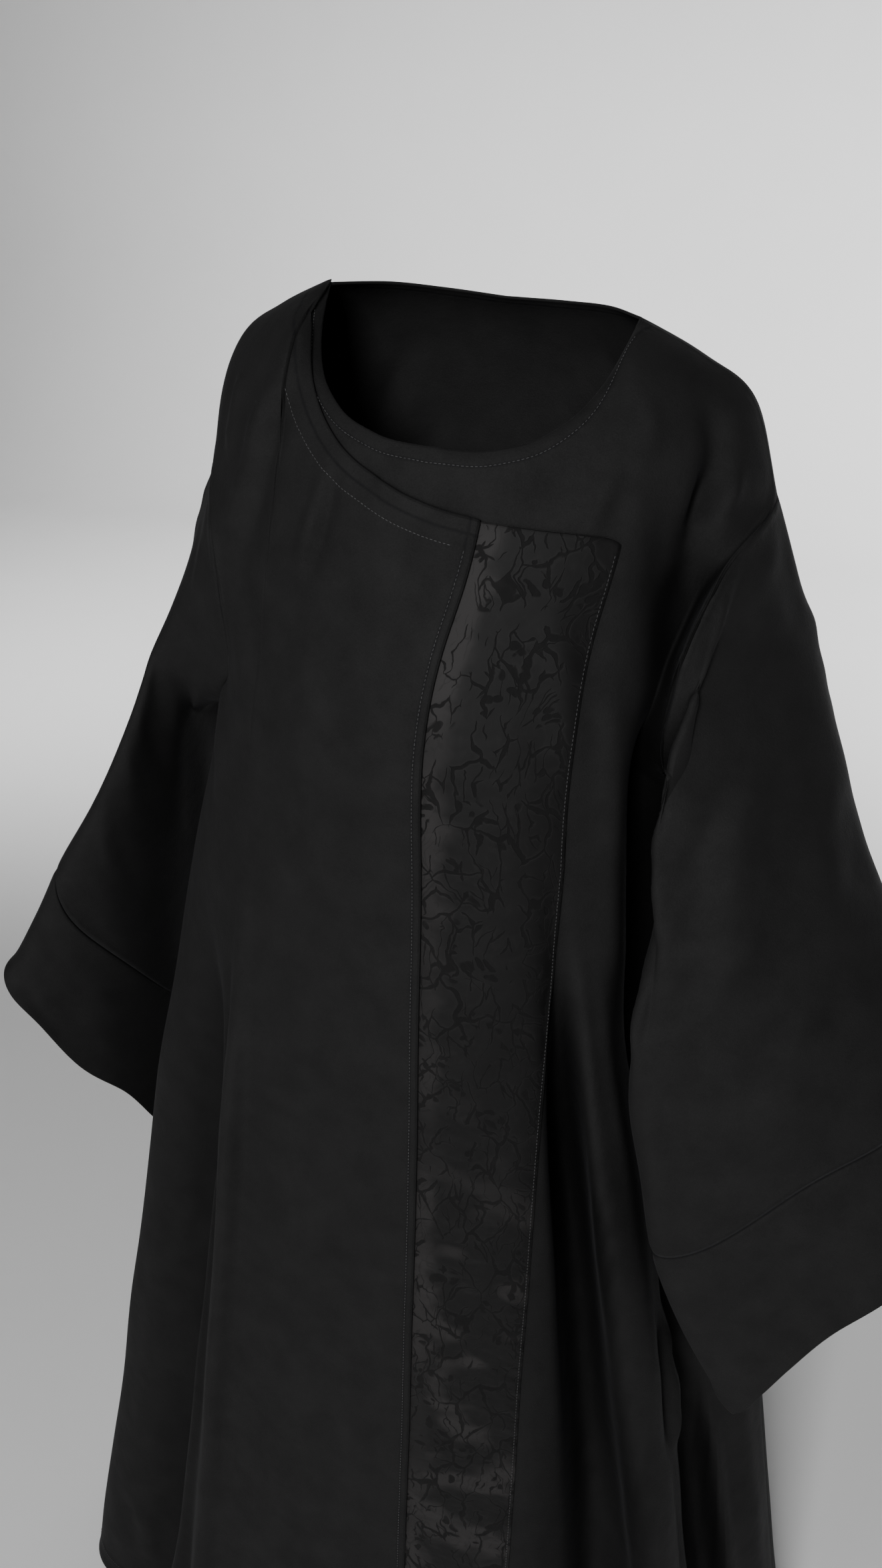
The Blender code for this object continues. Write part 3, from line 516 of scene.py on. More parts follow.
# The same on the sleeves, by the turn round them and the run along them.
SLEEVE_CREASES = table(
    "side turn_a run_a  turn_b run_b  bow    wide   height  beside",
    (1, 0.105, -0.04, 0.200, 0.200,  0.002, 0.007,  0.0034, -0.8),
    (1, 0.072, -0.02, 0.030, 0.300,  0.004, 0.012,  0.0024, -0.5),
    (1, 0.100, 0.330, 0.235, 0.660,  0.010, 0.015,  0.0060,  0.5),
    (1, 0.330, 0.200, 0.420, 0.640,  0.008, 0.012,  0.0060, -0.5),
    (1, 0.260, 0.160, 0.300, 0.420,  0.006, 0.012,  0.0040, -0.6),
    (1, 0.020, 0.420, 0.110, 0.760,  0.010, 0.016,  0.0040, -0.5),
    (1, 0.160, 0.700, 0.260, 0.970,  0.008, 0.014,  0.0036,  0.5),
    (1, 0.380, 0.640, 0.400, 0.980,  0.006, 0.014,  0.0036, -0.5),
    (1, 0.300, 1.080, 0.300, 1.380,  0.004, 0.020, -0.0060,  0.0),
    (1, 0.160, 1.060, 0.180, 1.380,  0.006, 0.018,  0.0030,  0.4),
    (1, 0.410, 1.050, 0.400, 1.370,  0.004, 0.016,  0.0030, -0.4),
    (1, 0.860, 0.040, 0.760, 0.260,  0.008, 0.011,  0.0060,  0.6),
    (1, 0.930, 0.100, 0.900, 0.420,  0.008, 0.013,  0.0040, -0.5),
    (1, 0.820, 0.360, 0.700, 0.720,  0.010, 0.015,  0.0050,  0.5),
    (1, 0.640, 0.300, 0.580, 0.660,  0.008, 0.012,  0.0050, -0.5),
    (1, 0.760, 0.760, 0.740, 1.360,  0.008, 0.018,  0.0040,  0.4),
    (-1, 0.110, -0.02, 0.210, 0.140, 0.002, 0.010,  0.0016, -0.7),
    (-1, 0.060, 0.030, 0.020, 0.300, 0.006, 0.011,  0.0040, -0.5),
    (-1, 0.120, 0.300, 0.220, 0.640, 0.010, 0.020,  0.0024,  0.5),
    (-1, 0.300, 0.260, 0.380, 0.660, 0.008, 0.018,  0.0024, -0.5),
    (-1, 0.180, 0.660, 0.260, 0.970, 0.008, 0.018,  0.0020,  0.5),
    (-1, 0.280, 1.040, 0.290, 1.420, 0.004, 0.016,  0.0026, -0.5),
    (-1, 0.180, 1.060, 0.160, 1.420, 0.004, 0.018, -0.0018,  0.0),
    (-1, 0.870, 0.040, 0.780, 0.280, 0.008, 0.011,  0.0060,  0.6),
    (-1, 0.800, 0.380, 0.700, 0.720, 0.010, 0.015,  0.0050,  0.5),
    (-1, 0.640, 0.300, 0.590, 0.680, 0.008, 0.012,  0.0050, -0.5),
    (-1, 0.740, 0.780, 0.730, 1.360, 0.008, 0.018,  0.0040,  0.4))


def crease_height(across, along, starts, ends, creases):
    """How far the creases lift the cloth at places measured in metres over its surface."""
    total = np.zeros_like(across)
    for i, (start, end) in enumerate(zip(starts, ends)):
        line = end - start
        length = math.hypot(*line)
        f = ((across - start[0]) * line[0] + (along - start[1]) * line[1]) / length ** 2
        side = ((across - start[0]) * line[1] - (along - start[1]) * line[0]) / length
        side = side - creases["bow"][i] * 4 * f * (1 - f)
        grown = ease(f / 0.3) * ease((1 - f) / 0.3)
        uneven = 1 + 0.22 * np.sin(9 * f + 3.1 * i) + 0.12 * np.sin(23 * f + 1.7 * i)
        w = side / (creases["wide"][i] * (0.85 + 0.3 * np.clip(f, 0, 1)))
        beside = creases["beside"][i]
        shape = np.exp(-w * w) - abs(beside) * np.exp(-((w - 1.7 * np.sign(beside)) / 1.3) ** 2)
        total += creases["height"][i] * grown * uneven * shape
    return total


def chosen(creases, column, value):
    keep = creases[column] == value
    return {key: values[keep] for key, values in creases.items()}


def body_radius(drop):
    return np.interp(drop, BODY["drop"], (BODY["left"] + BODY["front"]) / 2)


def relax(points, passes, wraps=False, strength=1.0):
    """Evens out a grid's kinks, with its border held. strength may differ from place to place."""
    held = np.broadcast_to(strength, points.shape[:2])[..., None]
    for _ in range(passes):
        around = (np.roll(points, 1, 1) + np.roll(points, -1, 1)) / 2
        moved = points.copy()
        moved[1:-1] = (around[1:-1] + (points[2:] + points[:-2]) / 2) / 2
        if not wraps:
            moved[:, 0], moved[:, -1] = points[:, 0], points[:, -1]
        points = points + (moved - points) * held
    return points


def unevenness(across, along):
    """Long, soft waves that no cloth is without."""
    waves = ((31, 9, 0.4, 0.0007), (13, 23, 1.9, 0.0008), (47, 17, 3.3, 0.0004), (22, 41, 5.1, 0.0003))
    return sum(size * np.sin(a * across + b * along + phase) for a, b, phase, size in waves)


def body_crease_height(points, front):
    """The creases' height at points of the body, with their places in metres over its surface."""
    toward = -1.0 if front else 1.0
    angle = np.arctan2(points[..., 0], toward * points[..., 1])
    drop = -points[..., 2]
    across = angle * body_radius(drop)
    creases = chosen(BODY_CREASES, "front", float(front))
    starts, ends = (np.stack([np.radians(creases["angle_" + end]) * body_radius(creases["drop_" + end]),
                              creases["drop_" + end]], -1) for end in "ab")
    return crease_height(across, drop, starts, ends, creases), across, drop


def painted_shade_fact(points, front):
    """How deep each point lies in a fold, from 0 to 1, where little light gets in; it sets the painted shade in the
    crepe's colour.
    """
    return np.clip(-body_crease_height(points, front)[0] / PAINTED_SHADE_DEPTH, 0.0, 1.0)


def crease_body(points, top_angles, front, depth):
    """Adds the creases to the body, fading out at the seams and at the top edge."""
    height, across, drop = body_crease_height(points, front)
    lift = depth * height + unevenness(across, drop)
    fade = ease((90 - np.abs(top_angles)) / SIDE_FADE) * ease((drop - drop[:1]) / TOP_FADE)
    normals = outward(points, surface_normals(points, False), 0.0)
    return points + normals * (lift * fade)[..., None]


# How far the cuff's seam and its hem wander along the sleeve, by the turn round it.
LEFT_WAVE = table(
    "turn   seam    hem",
    (0.00,  0.000,  0.000),
    (0.10,  0.004, -0.010),
    (0.163, 0.020, -0.028),
    (0.22, -0.022, -0.036),
    (0.273, -0.004, -0.048),
    (0.33,  0.014, -0.034),
    (0.373, 0.018, -0.016),
    (0.45, -0.016,  0.000),
    (0.50, -0.024, -0.060),
    (0.56, -0.010, -0.020),
    (0.75,  0.012, -0.024),
    (1.00,  0.000,  0.000))
RIGHT_WAVE = table(
    "turn   seam    hem",
    (0.00,  0.000,  0.000),
    (0.13, -0.006, -0.012),
    (0.20,  0.008, -0.040),
    (0.27, -0.018, -0.030),
    (0.34, -0.024, -0.052),
    (0.42, -0.010, -0.020),
    (0.50, -0.006, -0.050),
    (0.75,  0.012, -0.020),
    (1.00,  0.000,  0.000))

SLEEVE_ROUND = 0.42          # cloth round a sleeve
SLEEVE_LONG = 0.52           # and along it for a run of 1
SLEEVE_FADE = 0.06           # run over which the creases fade out at the armhole
CUFF_DRAW = 0.0011           # the cuff's seam draws the cloth in by this much
CUFF_DRAW_WIDE = 0.0035      # over this distance on each side


def crease_sleeve(points, turns, runs, place, mirror, depth):
    creases = chosen(SLEEVE_CREASES, "side", mirror)
    starts, ends = (np.stack([creases["turn_" + end] * SLEEVE_ROUND, creases["run_" + end] * SLEEVE_LONG], -1)
                    for end in "ab")
    along = runs * SLEEVE_LONG
    lift = sum(crease_height((turns + shift) * SLEEVE_ROUND, along, starts, ends, creases) for shift in (-1, 0, 1))
    lift = depth * lift + unevenness(SLEEVE_ROUND * np.sin(2 * math.pi * turns) / 3, along)
    lift = lift * ease(runs / SLEEVE_FADE)
    lift = lift - CUFF_DRAW * np.exp(-((place - SLEEVE_END) * SLEEVE_LONG / CUFF_DRAW_WIDE) ** 2)
    normals = surface_normals(points, True) * -mirror
    return points + normals * lift[..., None]


# ---------------------------------------------------------------- fine walls of cloth
FRONT_TOPS = steps((-90, -89, 3), (-89, -NECK_END, 56), (-NECK_END, EDGE_LINE, 60), (EDGE_LINE, NECK_END, 36),
                   (NECK_END, 89, 62), (89, 90, 3))
BACK_TOPS = steps((-90, -89, 3), (-89, 89, 172), (89, 90, 3))
EDGE_COLUMN = 3 + 56 + 60
BAND_COLUMN = EDGE_COLUMN + 36
BAND_TUCK = 6                # the band runs on under the upper front by this many columns
BODY_DOWN = steps((0, 0.006, 3), (0.006, 0.994, 200), (0.994, 1, 3))
BACK_DOWN = steps((0, 0.006, 3), (0.006, 0.994, 186), (0.994, 1, 3))
SLEEVE_DOWN = steps((0, 0.01, 3), (0.01, 0.985, 112), (0.985, 1, 4))
CUFF_DOWN = steps((1, 1.015, 4), (1.015, 1.39, 36), (1.39, CUFF_END, 3))
SLEEVE_TURNS = 150
BODY_PASSES, SLEEVE_PASSES = 14, 60     # passes that even out the grids
SLEEVE_HOLD = 0.05           # run over which they are held still at a sleeve's two ends
SEAM_WAVE = 0.13             # run over which the wander of the cuff's seam dies out
HEM_WAVE = 1.1, 0.3          # run at which its hem's starts, and over which it grows
SIDE_FADE = 7.0              # degrees over which the body's creases fade out at its sides
TOP_FADE = 0.025             # and the drop over which they do at its top edge
UPPER_TOPS = FRONT_TOPS[:EDGE_COLUMN + 1]
PAINTED_SHADE_DEPTH = 0.028         # a fold this deep gets the full painted shade in its colour
RIM_BULGE = 0.42             # a wall's rim stands out by this share of its thickness
LAP_COLUMN = (EDGE_LINE + NECK_END) / 8.0   # degrees of the top edge to each step of the lap's rise
LAP_CLEAR = 5                # the upper front lies low from this many of them off its free edge
LAP_RISE = 3.0               # and rises over the tucked band across this many
NECK_HEM = 0.010             # distance from the neckline to its stitches
UPPER_HEM = 0.020            # and so on for the other turned edges
FREE_HEM = 0.006
HEM = 0.022
BAND_HEM = 0.0025


def line_distance(points, line):
    """Distance of each point from a line of points."""
    best = np.full(points.shape[:-1], 1.0)
    for a, b in zip(line[:-1], line[1:]):
        edge = b - a
        from_a = points - a
        f = np.clip(from_a @ edge / max(edge @ edge, 1e-12), 0.0, 1.0)
        best = np.minimum(best, np.linalg.norm(from_a - f[..., None] * edge, axis=-1))
    return best


def cumulative(points, axis):
    """Length of cloth along one direction of a grid, from its first line."""
    length = np.linalg.norm(np.diff(points, axis=axis), axis=-1)
    start = np.zeros_like(np.take(length, [0], axis=axis))
    return np.concatenate([start, np.cumsum(length, axis=axis)], axis)


def rim_loops(rows, columns, wraps):
    """The open edges of a grid as loops of places, with the place just inside each."""
    top = [((0, c), (1, c)) for c in range(columns)]
    bottom = [((rows - 1, c), (rows - 2, c)) for c in reversed(range(columns))]
    if wraps:
        return [top, bottom]
    right = [((r, columns - 1), (r, columns - 2)) for r in range(1, rows - 1)]
    left = [((r, 0), (r, 1)) for r in reversed(range(1, rows - 1))]
    return [top + right + bottom + left]


def wall(name, points, normals, low, high, facts, wraps=False):
    """A closed wall of cloth between two layers of a grid, with rounded rims.

    facts are numbers stored at each point for the materials. The UV map is in metres of cloth.
    """
    rows, columns = points.shape[:2]
    count = rows * columns
    low, high = (np.broadcast_to(value, (rows, columns)) for value in (low, high))
    outer, inner = (points + normals * value[..., None] for value in (high, low))
    index = np.arange(count).reshape(rows, columns)
    closed = np.concatenate([index, index[:, :1]], 1) if wraps else index
    spread = np.concatenate([points, points[:, :1]], 1) if wraps else points
    uv = np.stack([cumulative(spread, 1), cumulative(spread, 0)], -1)
    corners = ((slice(None, -1), slice(None, -1)), (slice(1, None), slice(None, -1)),
               (slice(1, None), slice(1, None)), (slice(None, -1), slice(1, None)))
    upper = np.stack([closed[c] for c in corners], -1).reshape(-1, 4)
    upper_uv = np.stack([uv[c] for c in corners], -2).reshape(-1, 4, 2)
    faces = [upper, upper[:, ::-1] + count]
    uvs = [upper_uv, upper_uv[:, ::-1]]
    places, rim_rows = [], []
    start = 2 * count
    for loop in rim_loops(rows, columns, wraps):
        edge = np.array([one for one, _ in loop])
        inside = np.array([other for _, other in loop])
        edge, inside = (tuple(part.T) for part in (edge, inside))
        out = points[edge] - points[inside]
        normal = normals[edge]
        out = unit(out - normal * np.sum(out * normal, -1, keepdims=True))
        thick = (high - low)[edge][:, None]
        places.append((outer[edge] + inner[edge]) / 2 + out * thick * RIM_BULGE)
        flat = index[edge]
        rim_rows.append(flat)
        mid = start + np.arange(len(flat))
        start += len(flat)
        flat_next, mid_next = np.roll(flat, -1), np.roll(mid, -1)
        faces += [np.stack([flat, flat_next, mid_next, mid], -1),
                  np.stack([mid, mid_next, flat_next + count, flat + count], -1)]
        rim_uv = uv[:, :columns].reshape(-1, 2)[np.stack([flat, flat_next, flat_next, flat], -1)]
        uvs += [rim_uv, rim_uv]
    vertices = np.concatenate([outer.reshape(-1, 3), inner.reshape(-1, 3)] + places)
    faces = np.concatenate(faces)
    uvs = np.concatenate(uvs)
    a, b, c, d = (vertices[faces[:, i]] for i in range(4))
    if np.sum(np.cross(c - a, d - b) * (a + b + c + d)) < 0:
        faces, uvs = faces[:, ::-1], uvs[:, ::-1]
    mesh = bpy.data.meshes.new(name)
    mesh.vertices.add(len(vertices))
    mesh.vertices.foreach_set("co", vertices.ravel())
    mesh.loops.add(faces.size)
    mesh.loops.foreach_set("vertex_index", faces.ravel())
    mesh.polygons.add(len(faces))
    mesh.polygons.foreach_set("loop_start", np.arange(0, faces.size, 4))
    mesh.update(calc_edges=True)
    mesh.uv_layers.new(name="cloth").data.foreach_set("uv", uvs.astype(np.float32).ravel())
    rims = np.concatenate(rim_rows)
    for key, values in facts.items():
        flat = np.broadcast_to(values, (rows, columns)).ravel()
        layer = mesh.attributes.new(key, "FLOAT", "POINT")
        layer.data.foreach_set("value", np.concatenate([flat, flat, flat[rims]]).astype(np.float32))
    mesh.shade_smooth()
    made = bpy.data.objects.new(name, mesh)
    cloth_collection().objects.link(made)
    return made


def remove_old(start):
    """Removes what an earlier run of the same button made."""
    for old in [o for o in bpy.data.objects if o.name.startswith(start)]:
        bpy.data.objects.remove(old)


def cloth_collection():
    name = "abaya cloth"
    made = bpy.data.collections.get(name) or bpy.data.collections.new(name)
    if name not in bpy.context.scene.collection.children:
        bpy.context.scene.collection.children.link(made)
    return made


def finish_piece(piece, node, finish):
    """Removes older copies of a piece, gives it its material, hangs it on the root body and hides the CAD part that it
    stands for.
    """
    for old in [o for o in bpy.data.objects if o is not piece and o.name.split(".")[0] == piece.name.split(".")[0]
                and o.name in cloth_collection().objects]:
        bpy.data.objects.remove(old)
    piece.data.materials.append(finish)
    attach(piece, "root")
    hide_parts(node)
    return piece


# ---------------------------------------------------------------- the surfaces
def fine_body(front, depth):
    tops, down = (FRONT_TOPS, BODY_DOWN) if front else (BACK_TOPS, BACK_DOWN)
    levels, angles = np.meshgrid(down, tops, indexing="ij")
    points = relax(body_points(angles, levels, front), BODY_PASSES)
    points = crease_body(points, angles, front, depth)
    return points, outward(points, surface_normals(points, False), 0.0), levels


def fine_sleeve(label, down, depth):
    rows, mirror = (LEFT_SLEEVE, 1.0) if label == "left" else (RIGHT_SLEEVE, -1.0)
    reach = np.unique(np.concatenate([SLEEVE_DOWN, CUFF_DOWN]))
    runs, turns = np.meshgrid(reach, np.arange(SLEEVE_TURNS) / SLEEVE_TURNS, indexing="ij")
    wave = LEFT_WAVE if label == "left" else RIGHT_WAVE
    runs = (runs + read(wave, "seam", turns) * np.exp(-((runs - SLEEVE_END) / SEAM_WAVE) ** 2)
            + read(wave, "hem", turns) * ease((runs - HEM_WAVE[0]) / HEM_WAVE[1]))
    place = reach[:, None]
    held = ease(place / SLEEVE_HOLD) * ease((CUFF_END - place) / SLEEVE_HOLD)
    points = relax(sleeve_points(rows, runs, turns, mirror), SLEEVE_PASSES, True, held)
    points = crease_sleeve(points, turns, runs, place, mirror, depth)
    normals = surface_normals(points, True) * -mirror
    keep = (reach >= down[0] - 1e-9) & (reach <= down[-1] + 1e-9)
    return points[keep], normals[keep]


def slide(points, normals, levels, starts, columns):
    """Takes some columns of a grid, with all their rows between a starting level and the hem."""
    points, normals, levels = (grid[:, columns] for grid in (points, normals, levels))
    moved = starts[None, columns] + (1 - starts[None, columns]) * levels
    place = np.interp(moved, levels[:, 0], np.arange(len(levels)))
    low = np.clip(np.floor(place).astype(int), 0, len(levels) - 2)
    f = (place - low)[..., None]
    column = np.arange(points.shape[1])[None, :]
    points = points[low, column] * (1 - f) + points[low + 1, column] * f
    normals = normals[low, column] * (1 - f) + normals[low + 1, column] * f
    return points, unit(normals)


def seam_distance(points, tops):
    """Distance from the side seams, the armholes and the shoulder seams of a body grid."""
    across = cumulative(points, 1)
    sides = np.minimum(across, across[:, -1:] - across)
    shoulders = np.where(np.abs(tops)[None] > NECK_END, cumulative(points, 0), 1.0)
    return np.minimum(sides, shoulders)


def neck_distance(points, tops):
    """Distance from the neckline, or from the curved upper edge of the upper front."""
    return line_distance(points, points[0, np.abs(tops) <= NECK_END + 0.01][::2])


def hem_distance(points):
    along = cumulative(points, 0)
    return along[-1] - along


def free_distance(points):
    """Distance from a grid's last column."""
    return cumulative(points[:, ::-1], 1)[:, ::-1]


def lap_height():
    """How far the upper front stands off the under front, more where the band is tucked under it."""
    steps_in = (EDGE_LINE - UPPER_TOPS) / LAP_COLUMN
    return LAYER_GAP + ease((LAP_CLEAR - steps_in) / LAP_RISE) * (BAND_WALL + LAYER_GAP)


def make_body(settings, front, name, node):
    """The under front or the back, each a whole width from side seam to side seam."""
    tops = FRONT_TOPS if front else BACK_TOPS
    points, normals, _ = fine_body(front, settings.crease_depth)
    facts = {"neck": neck_distance(points, tops), "hem": hem_distance(points),
             "seam": seam_distance(points, tops), "hollow": painted_shade_fact(points, front)}
    piece = wall(name, points, normals, -WALL, 0.0, facts)
    return finish_piece(piece, node, crepe_material())


def front_layers(settings):
    """The grids of the jacquard band and of the upper front, both lifted off the under front."""
    front, normals, levels = fine_body(True, settings.crease_depth)
    band_top = np.interp(FRONT_TOPS, (EDGE_LINE, NECK_END), (BAND_TOP_RIGHT, BAND_TOP_LEFT))
    band = slide(front, normals, levels, down_at_drop(FRONT_TOPS, band_top, True),
                 slice(EDGE_COLUMN - BAND_TUCK, BAND_COLUMN + 1))
    edge_drop = smooth(UPPER_EDGE["angle"], UPPER_EDGE["drop"], np.clip(FRONT_TOPS, -NECK_END, EDGE_LINE))
    starts = np.where(FRONT_TOPS > -NECK_END, down_at_drop(FRONT_TOPS, edge_drop, True), 0.0)
    upper = slide(front, normals, levels, starts, slice(0, EDGE_COLUMN + 1))
    return band, upper


def make_band(settings):
    (points, normals), _ = front_layers(settings)
    across = cumulative(points, 1)
    facts = {"free": free_distance(points), "open": across - across[:, BAND_TUCK:BAND_TUCK + 1],
             "hem": hem_distance(points)}
    piece = wall("jacquard_band", points, normals, LAYER_GAP, LAYER_GAP + BAND_WALL, facts)
    return finish_piece(piece, "front_band", jacquard_material())


def make_upper_front(settings):
    _, (points, normals) = front_layers(settings)
    facts = {"neck": neck_distance(points, UPPER_TOPS), "free": free_distance(points),
             "hem": hem_distance(points), "seam": cumulative(points, 1), "hollow": painted_shade_fact(points, True)}
    points[:, :1] += (points[:, 1:2] - points[:, :1]) * 0.5    # short of the under front's rim
    low = lap_height()
    piece = wall("upper_front", points, normals, low, low + WALL, facts)
    return finish_piece(piece, "front_upper", crepe_material())


def make_sleeve(settings, label):
    points, normals = fine_sleeve(label, SLEEVE_DOWN, settings.crease_depth)
    along = cumulative(points, 0)
    facts = {"seam": np.minimum(along, along[-1] - along)}
    piece = wall("sleeve_cloth_" + label, points, normals, -WALL, 0.0, facts, wraps=True)
    return finish_piece(piece, "sleeve_" + label, crepe_material())


def make_cuff(settings, label):
    points, normals = fine_sleeve(label, CUFF_DOWN, settings.crease_depth)
    facts = {"seam": cumulative(points, 0)}
    piece = wall("cuff_cloth_" + label, points, normals, -WALL, 0.0, facts, wraps=True)
    return finish_piece(piece, "cuff_" + label, crepe_material())


# ---------------------------------------------------------------- materials
def add(tree, kind, inputs=None, **settings):
    """One node, with its settings and with its sockets set or linked."""
    made = tree.nodes.new(kind)
    for key, value in settings.items():
        setattr(made, key, value)
    for key, value in (inputs or {}).items():
        socket = made.inputs[key]
        if isinstance(value, bpy.types.NodeSocket):
            tree.links.new(value, socket)
        else:
            socket.default_value = value
    return made


def maths(tree, operation, *values, clamp=False):
    made = add(tree, "ShaderNodeMath", dict(enumerate(values)), operation=operation, use_clamp=clamp)
    return made.outputs[0]


def plus(tree, value, *others):
    for other in others:
        value = maths(tree, "ADD", value, other)
    return value


def times(tree, value, *others):
    for other in others:
        value = maths(tree, "MULTIPLY", value, other)
    return value


def most(tree, value, *others):
    for other in others:
        value = maths(tree, "MAXIMUM", value, other)
    return value


def soft_step(tree, value, low, high, start=0.0, end=1.0):
    made = add(tree, "ShaderNodeMapRange", {0: value, 1: low, 2: high, 3: start, 4: end},
               interpolation_type="SMOOTHSTEP")
    return made.outputs[0]


def ramp(tree, value, low, high, start, end):
    made = add(tree, "ShaderNodeMapRange", {0: value, 1: low, 2: high, 3: start, 4: end})
    return made.outputs[0]


def mix(tree, share, one, other):
    """A colour between two, each a socket or three numbers."""
    one, other = (colour if isinstance(colour, bpy.types.NodeSocket) else (*colour, 1.0) for colour in (one, other))
    return add(tree, "ShaderNodeMix", {0: share, 6: one, 7: other}, data_type="RGBA").outputs[2]


def noise(tree, where, scale, detail=1.0, roughness=0.5, dimensions="3D", output=0):
    made = add(tree, "ShaderNodeTexNoise", {"Vector": where, "Scale": scale, "Detail": detail, "Roughness": roughness},
               noise_dimensions=dimensions)
    return made.outputs[output]


def stored(tree, name):
    return add(tree, "ShaderNodeAttribute", attribute_name=name).outputs["Fac"]


def blur_line(tree, distance, place, wide):
    """1 on a line at a distance from an edge, fading to 0 on both sides of it."""
    off = maths(tree, "DIVIDE", maths(tree, "SUBTRACT", distance, place), wide)
    return maths(tree, "POWER", math.e, times(tree, off, off, -1.0))


def new_group(name, inputs, outputs):
    """A shader node group and its two end nodes. All its sockets are floats but the one named Vector."""
    old = bpy.data.node_groups.get(name)
    if old:
        bpy.data.node_groups.remove(old)
    group = bpy.data.node_groups.new(name, "ShaderNodeTree")
    for way, sockets in (("INPUT", inputs), ("OUTPUT", outputs)):
        for socket in sockets:
            kind = "NodeSocketVector" if socket == "Vector" else "NodeSocketFloat"
            group.interface.new_socket(name=socket, in_out=way, socket_type=kind)
    return group, group.nodes.new("NodeGroupInput").outputs, group.nodes.new("NodeGroupOutput").inputs


def give(tree, sockets, values):
    """Sets or links the sockets of a shader or of a group's end."""
    for key, value in values.items():
        if isinstance(value, bpy.types.NodeSocket):
            tree.links.new(value, sockets[key])
        else:
            sockets[key].default_value = value


def crepe_grain_group():
    """The pebbled grain of crepe: its height in metres, and its lights and darks."""
    group, given, result = new_group("Crepe grain", ("Vector",), ("Height", "Tone"))
    where = given["Vector"]
    fine = noise(group, where, 1150.0, 2.0, 0.6)
    twist = add(group, "ShaderNodeTexVoronoi", {"Vector": where, "Scale": 720.0, "Randomness": 1.0})
    cloudy = noise(group, where, 34.0, 4.0, 0.55)
    soft = noise(group, where, 11.0, 3.0)
    give(group, result, {
        "Height": plus(group, times(group, fine, 0.00016), times(group, twist.outputs["Distance"], 0.00012),
                       times(group, cloudy, 0.0011), times(group, soft, 0.0024)),
        "Tone": plus(group, times(group, fine, 0.55), times(group, cloudy, 0.45))})
    return group


def turned_edge_group():
    """A turned and stitched edge: a step where the turned cloth ends, and the stitches' furrow, whose line also sets
    the painted shade in the crepe's colour.
    """
    group, given, result = new_group("Turned edge", ("Distance", "Stitches at", "Vector"), ("Height", "Furrow"))
    distance, place = given["Distance"], given["Stitches at"]
    step = soft_step(group, maths(group, "SUBTRACT", distance, place), -0.0004, 0.0016, 0.00028, 0.0)
    furrow = blur_line(group, distance, place, 0.0011)
    pull = times(group, noise(group, given["Vector"], 120.0), blur_line(group, distance, place, 0.006), 0.0011)
    roll = soft_step(group, distance, 0.0, 0.0012, -0.0003, 0.0)
    give(group, result, {"Height": plus(group, step, times(group, furrow, -0.00038), pull, roll),
                         "Furrow": furrow})
    return group


def seam_group():
    """A sewn seam: a narrow valley between two soft rolls, puckered along its length, with a line for the painted
    shade in its valley.
    """
    group, given, result = new_group("Sewn seam", ("Distance", "Vector"), ("Height", "Furrow"))
    distance = given["Distance"]
    valley = times(group, blur_line(group, distance, 0.0, 0.0012), -0.0011)
    roll = times(group, blur_line(group, distance, 0.0045, 0.0030), 0.0006)
    pucker = times(group, noise(group, given["Vector"], 75.0, 2.0), blur_line(group, distance, 0.0, 0.014), 0.0022)
    give(group, result, {"Height": plus(group, valley, roll, pucker),
                         "Furrow": blur_line(group, distance, 0.0, 0.0016)})
    return group


# The jacquard's lines: each kind's turn, stretch, cells to the metre, width, and the noise that lets it in.
FIGURE_LINES = (
    ("branch", 0.5, 0.62, 46.0, 0.044, 0.38, 0.46),
    ("twig", -0.6, 0.40, 92.0, 0.040, 0.44, 0.52),
    ("vein", 0.9, 0.30, 150.0, 0.050, 0.42, 0.54))
FIGURE_DRIFT = ((24.0, 0.030), (85.0, 0.0060), (260.0, 0.0014))   # how they wander: scale, and metres
THIN_LINE = 0.006                                                 # a thinner line is left out


def branch_group():
    """Branches, twigs and leaf blots of the jacquard, laid out in metres of cloth."""
    group, given, result = new_group("Branch figure", ("Vector",), ("Figure", "Outline", "Twigs"))
    where = given["Vector"]
    bent = where
    for scale, size in FIGURE_DRIFT:
        drift = noise(group, where, scale, dimensions="2D", output="Color")
        moved = add(group, "ShaderNodeVectorMath", {0: drift, 3: size}, operation="SCALE")
        bent = add(group, "ShaderNodeVectorMath", {0: bent, 1: moved.outputs[0]}, operation="ADD").outputs[0]
    inside, outline = {}, {}
    for label, turn, stretch, scale, wide, low, high in FIGURE_LINES:
        laid = add(group, "ShaderNodeMapping", {"Vector": bent, "Rotation": (0.0, 0.0, turn),
                                                "Scale": (1.0, stretch, 1.0)}).outputs[0]
        cells = add(group, "ShaderNodeTexVoronoi", {"Vector": laid, "Scale": scale, "Randomness": 1.0},
                    voronoi_dimensions="2D", feature="DISTANCE_TO_EDGE")
        swell = soft_step(group, noise(group, laid, scale * 0.9, dimensions="2D"), 0.3, 0.7, 0.45, 1.6)
        patch = soft_step(group, noise(group, where, scale * 0.45, dimensions="2D"), low, high)
        width = times(group, swell, times(group, patch, wide))
        off = maths(group, "SUBTRACT", cells.outputs["Distance"], width)
        shown = maths(group, "GREATER_THAN", width, THIN_LINE)
        inside[label] = times(group, soft_step(group, off, -0.012, 0.012, 1.0, 0.0), shown)
        outline[label] = times(group, blur_line(group, off, 0.026, 0.018), shown)
    leaf = add(group, "ShaderNodeTexVoronoi", {"Vector": bent, "Scale": 88.0, "Randomness": 1.0},
               voronoi_dimensions="2D", feature="F1")
    blots = times(group, soft_step(group, leaf.outputs["Distance"], 0.26, 0.32, 1.0, 0.0),
                  soft_step(group, noise(group, where, 38.0, dimensions="2D"), 0.60, 0.66))
    give(group, result, {"Figure": most(group, inside["branch"], inside["twig"], blots),
                         "Outline": most(group, outline["branch"], outline["twig"]), "Twigs": inside["vein"]})
    return group


